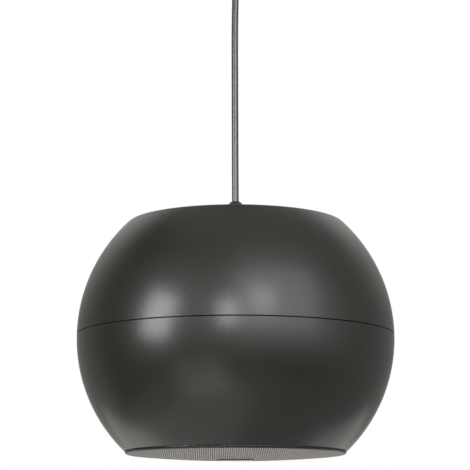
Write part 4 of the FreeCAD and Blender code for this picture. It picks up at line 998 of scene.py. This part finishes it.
floor_level = -5.2
floor_radius = 30.0
floor_steps = 96
angles = 2 * pi * np.arange(floor_steps) / floor_steps
floor_rim = np.c_[floor_radius * np.cos(angles), floor_radius * np.sin(angles),
                  np.full(floor_steps, floor_level)]
floor_finish = Finish("studio_floor")
floor_tone = floor_finish.mixed(grey(0.80, 0.01), grey(0.84, 0.01), floor_finish.noise(0.6, 2))
stage_piece("studio_floor", floor_rim, [list(range(floor_steps))],
            floor_finish.done({"Base Color": floor_tone, "Roughness": 0.9}))

cloth_radius = 5.0
cloth_lowest, cloth_highest = radians(-35), radians(89)
cloth_rows, cloth_columns = 12, 36
elevation, azimuth = np.meshgrid(np.linspace(cloth_lowest, cloth_highest, cloth_rows + 1),
                                 2 * pi * np.arange(cloth_columns) / cloth_columns, indexing="ij")
row, column = np.meshgrid(np.arange(cloth_rows), np.arange(cloth_columns), indexing="ij")
corner = (row * cloth_columns + column).ravel()
beside = (row * cloth_columns + (column + 1) % cloth_columns).ravel()
cloth_points = cloth_radius * np.stack((np.sin(azimuth) * np.cos(elevation),
                                        -np.cos(azimuth) * np.cos(elevation), np.sin(elevation)), -1)
cloth_faces = np.stack((corner, corner + cloth_columns, beside + cloth_columns, beside), -1)


def glowing():
    """Cloth that glows as brightly as a lit one looks. Its tones blend over steps along three axes, in
    metres from the origin: across to the right, away from the camera, and up."""
    finish = Finish("glowing_reflection_cloth")
    across, away, up = (finish.along(axis) for axis in range(3))
    from_right = finish.step(across, -1.0, 1.0)
    in_middle = 1 - finish.step(across * across, 0.8, 3.2)
    from_front = finish.step(away, -3.6, 0.5)
    past_side = finish.step(away, 0.6, 2.6)
    to_back = finish.step(away, 1.5, 4.6)
    off_floor = finish.step(up, -2.2, 0.6)
    off_horizon = finish.step(up, 0.2, 1.4)
    high_up = finish.step(up, 1.0, 5.0)
    overhead = finish.step(up, 3.7, 4.8)
    front_left = finish.mixed(finish.mixed(grey(0.03), grey(1.05), off_floor), grey(0.14), high_up)
    front_right = finish.mixed(grey(1.7), grey(0.8), high_up)
    front = finish.mixed(front_left, front_right, from_right * off_floor)
    left_back = finish.mixed(grey(0.36, 0.03), grey(0.18, 0.03), off_floor)
    left = finish.mixed(grey(0.02, 0.03), left_back, past_side)
    side = finish.mixed(left, grey(0.34, 0.03), from_right)
    near = finish.mixed(finish.mixed(front, side, from_front), grey(0.42, 0.03), overhead)
    back = finish.mixed(grey(0.32, 0.04), grey(0.48, 0.04), off_horizon)
    back = finish.mixed(finish.mixed(back, grey(2.3, 0.02), high_up), grey(0.78, 0.065), in_middle)
    return finish.done({
        "Base Color": grey(0.0),
        "Roughness": 1.0,
        "Specular IOR Level": 0.0,
        "Emission Color": finish.mixed(near, back, to_back),
        "Emission Strength": 1.0,
    })


# Painted reflection: a glowing cloth, no lamp, that only the object's reflections see.
cloth = stage_piece("glowing_reflection_cloth", cloth_points.reshape(-1, 3), cloth_faces.tolist(), glowing())
cloth.visible_camera = False
cloth.visible_diffuse = False
cloth.visible_shadow = False
cloth.visible_transmission = False


def soft_box(name, azimuth, elevation, distance, wide, high, radiance, color, roll=0.0):
    """Area lamp that faces the speaker. Azimuth runs from the camera's side towards +X, wide and
    high are the angles that it fills, a roll leans its upper end towards the camera's left, or its
    right below zero, and its power is pi times its area times its radiance."""
    a, e = radians(azimuth), radians(elevation)
    lamp = bpy.data.lights.new(name, "AREA")
    lamp.shape = "RECTANGLE"
    lamp.size = 2 * distance * tan(radians(wide) / 2)
    lamp.size_y = 2 * distance * tan(radians(high) / 2)
    lamp.energy = pi * lamp.size * lamp.size_y * radiance
    lamp.color = color
    holder = bpy.data.objects.new(name, lamp)
    holder.location = (distance * sin(a) * cos(e), -distance * cos(a) * cos(e), distance * sin(e) + widest)
    facing = Matrix.Rotation(a, 3, "Z") @ Matrix.Rotation(pi / 2 - e, 3, "X")
    holder.rotation_euler = (facing @ Matrix.Rotation(radians(roll), 3, "Z")).to_euler()
    holder.visible_camera = False
    bpy.context.scene.collection.objects.link(holder)


lamp_tone = (1.0, 0.985, 1.025)
bounce_tone = (1.0, 0.985, 0.945)
soft_box("soft_box_left", azimuth=-54, elevation=10, distance=1.7, wide=21, high=27, radiance=10.0,
         color=lamp_tone, roll=-18)
soft_box("soft_box_front", azimuth=-5.5, elevation=11, distance=1.8, wide=11, high=16, radiance=12,
         color=lamp_tone)
soft_box("soft_box_middle", azimuth=18.5, elevation=19.4, distance=2.0, wide=14, high=17.5,
         radiance=5.3, color=lamp_tone)
soft_box("soft_box_right", azimuth=30, elevation=21, distance=2.3, wide=56, high=42, radiance=1.6,
         color=lamp_tone)
soft_box("soft_box_low", azimuth=180, elevation=-45, distance=1.6, wide=90, high=50, radiance=0.75,
         color=bounce_tone)
soft_box("reflector_left", azimuth=-27, elevation=-31, distance=1.6, wide=34, high=24, radiance=0.9,
         color=bounce_tone)
soft_box("reflector_under", azimuth=-72, elevation=-67, distance=2.2, wide=100, high=42,
         radiance=0.48, color=bounce_tone)

world = bpy.data.worlds.new("studio")
world.use_nodes = True
world.cycles.sampling_method = "NONE"
bpy.context.scene.world = world
tree = world.node_tree
tree.nodes.clear()
ray = tree.nodes.new("ShaderNodeLightPath")
share = ray.outputs["Is Camera Ray"]
for name in ("Is Glossy Ray", "Is Transmission Ray"):
    either = tree.nodes.new("ShaderNodeMath")
    either.operation = "MAXIMUM"
    tree.links.new(share, either.inputs[0])
    tree.links.new(ray.outputs[name], either.inputs[1])
    share = either.outputs[0]
both = tree.nodes.new("ShaderNodeMixShader")
tree.links.new(share, both.inputs[0])
light_on_object, background = 0.42, 1.0
for place, strength in ((1, light_on_object), (2, background)):
    sky = tree.nodes.new("ShaderNodeBackground")
    sky.inputs["Color"].default_value = grey(1.0)
    sky.inputs["Strength"].default_value = strength
    tree.links.new(sky.outputs[0], both.inputs[place])
end = tree.nodes.new("ShaderNodeOutputWorld")
tree.links.new(both.outputs[0], end.inputs["Surface"])

bpy.context.scene.view_settings.view_transform = "Standard"
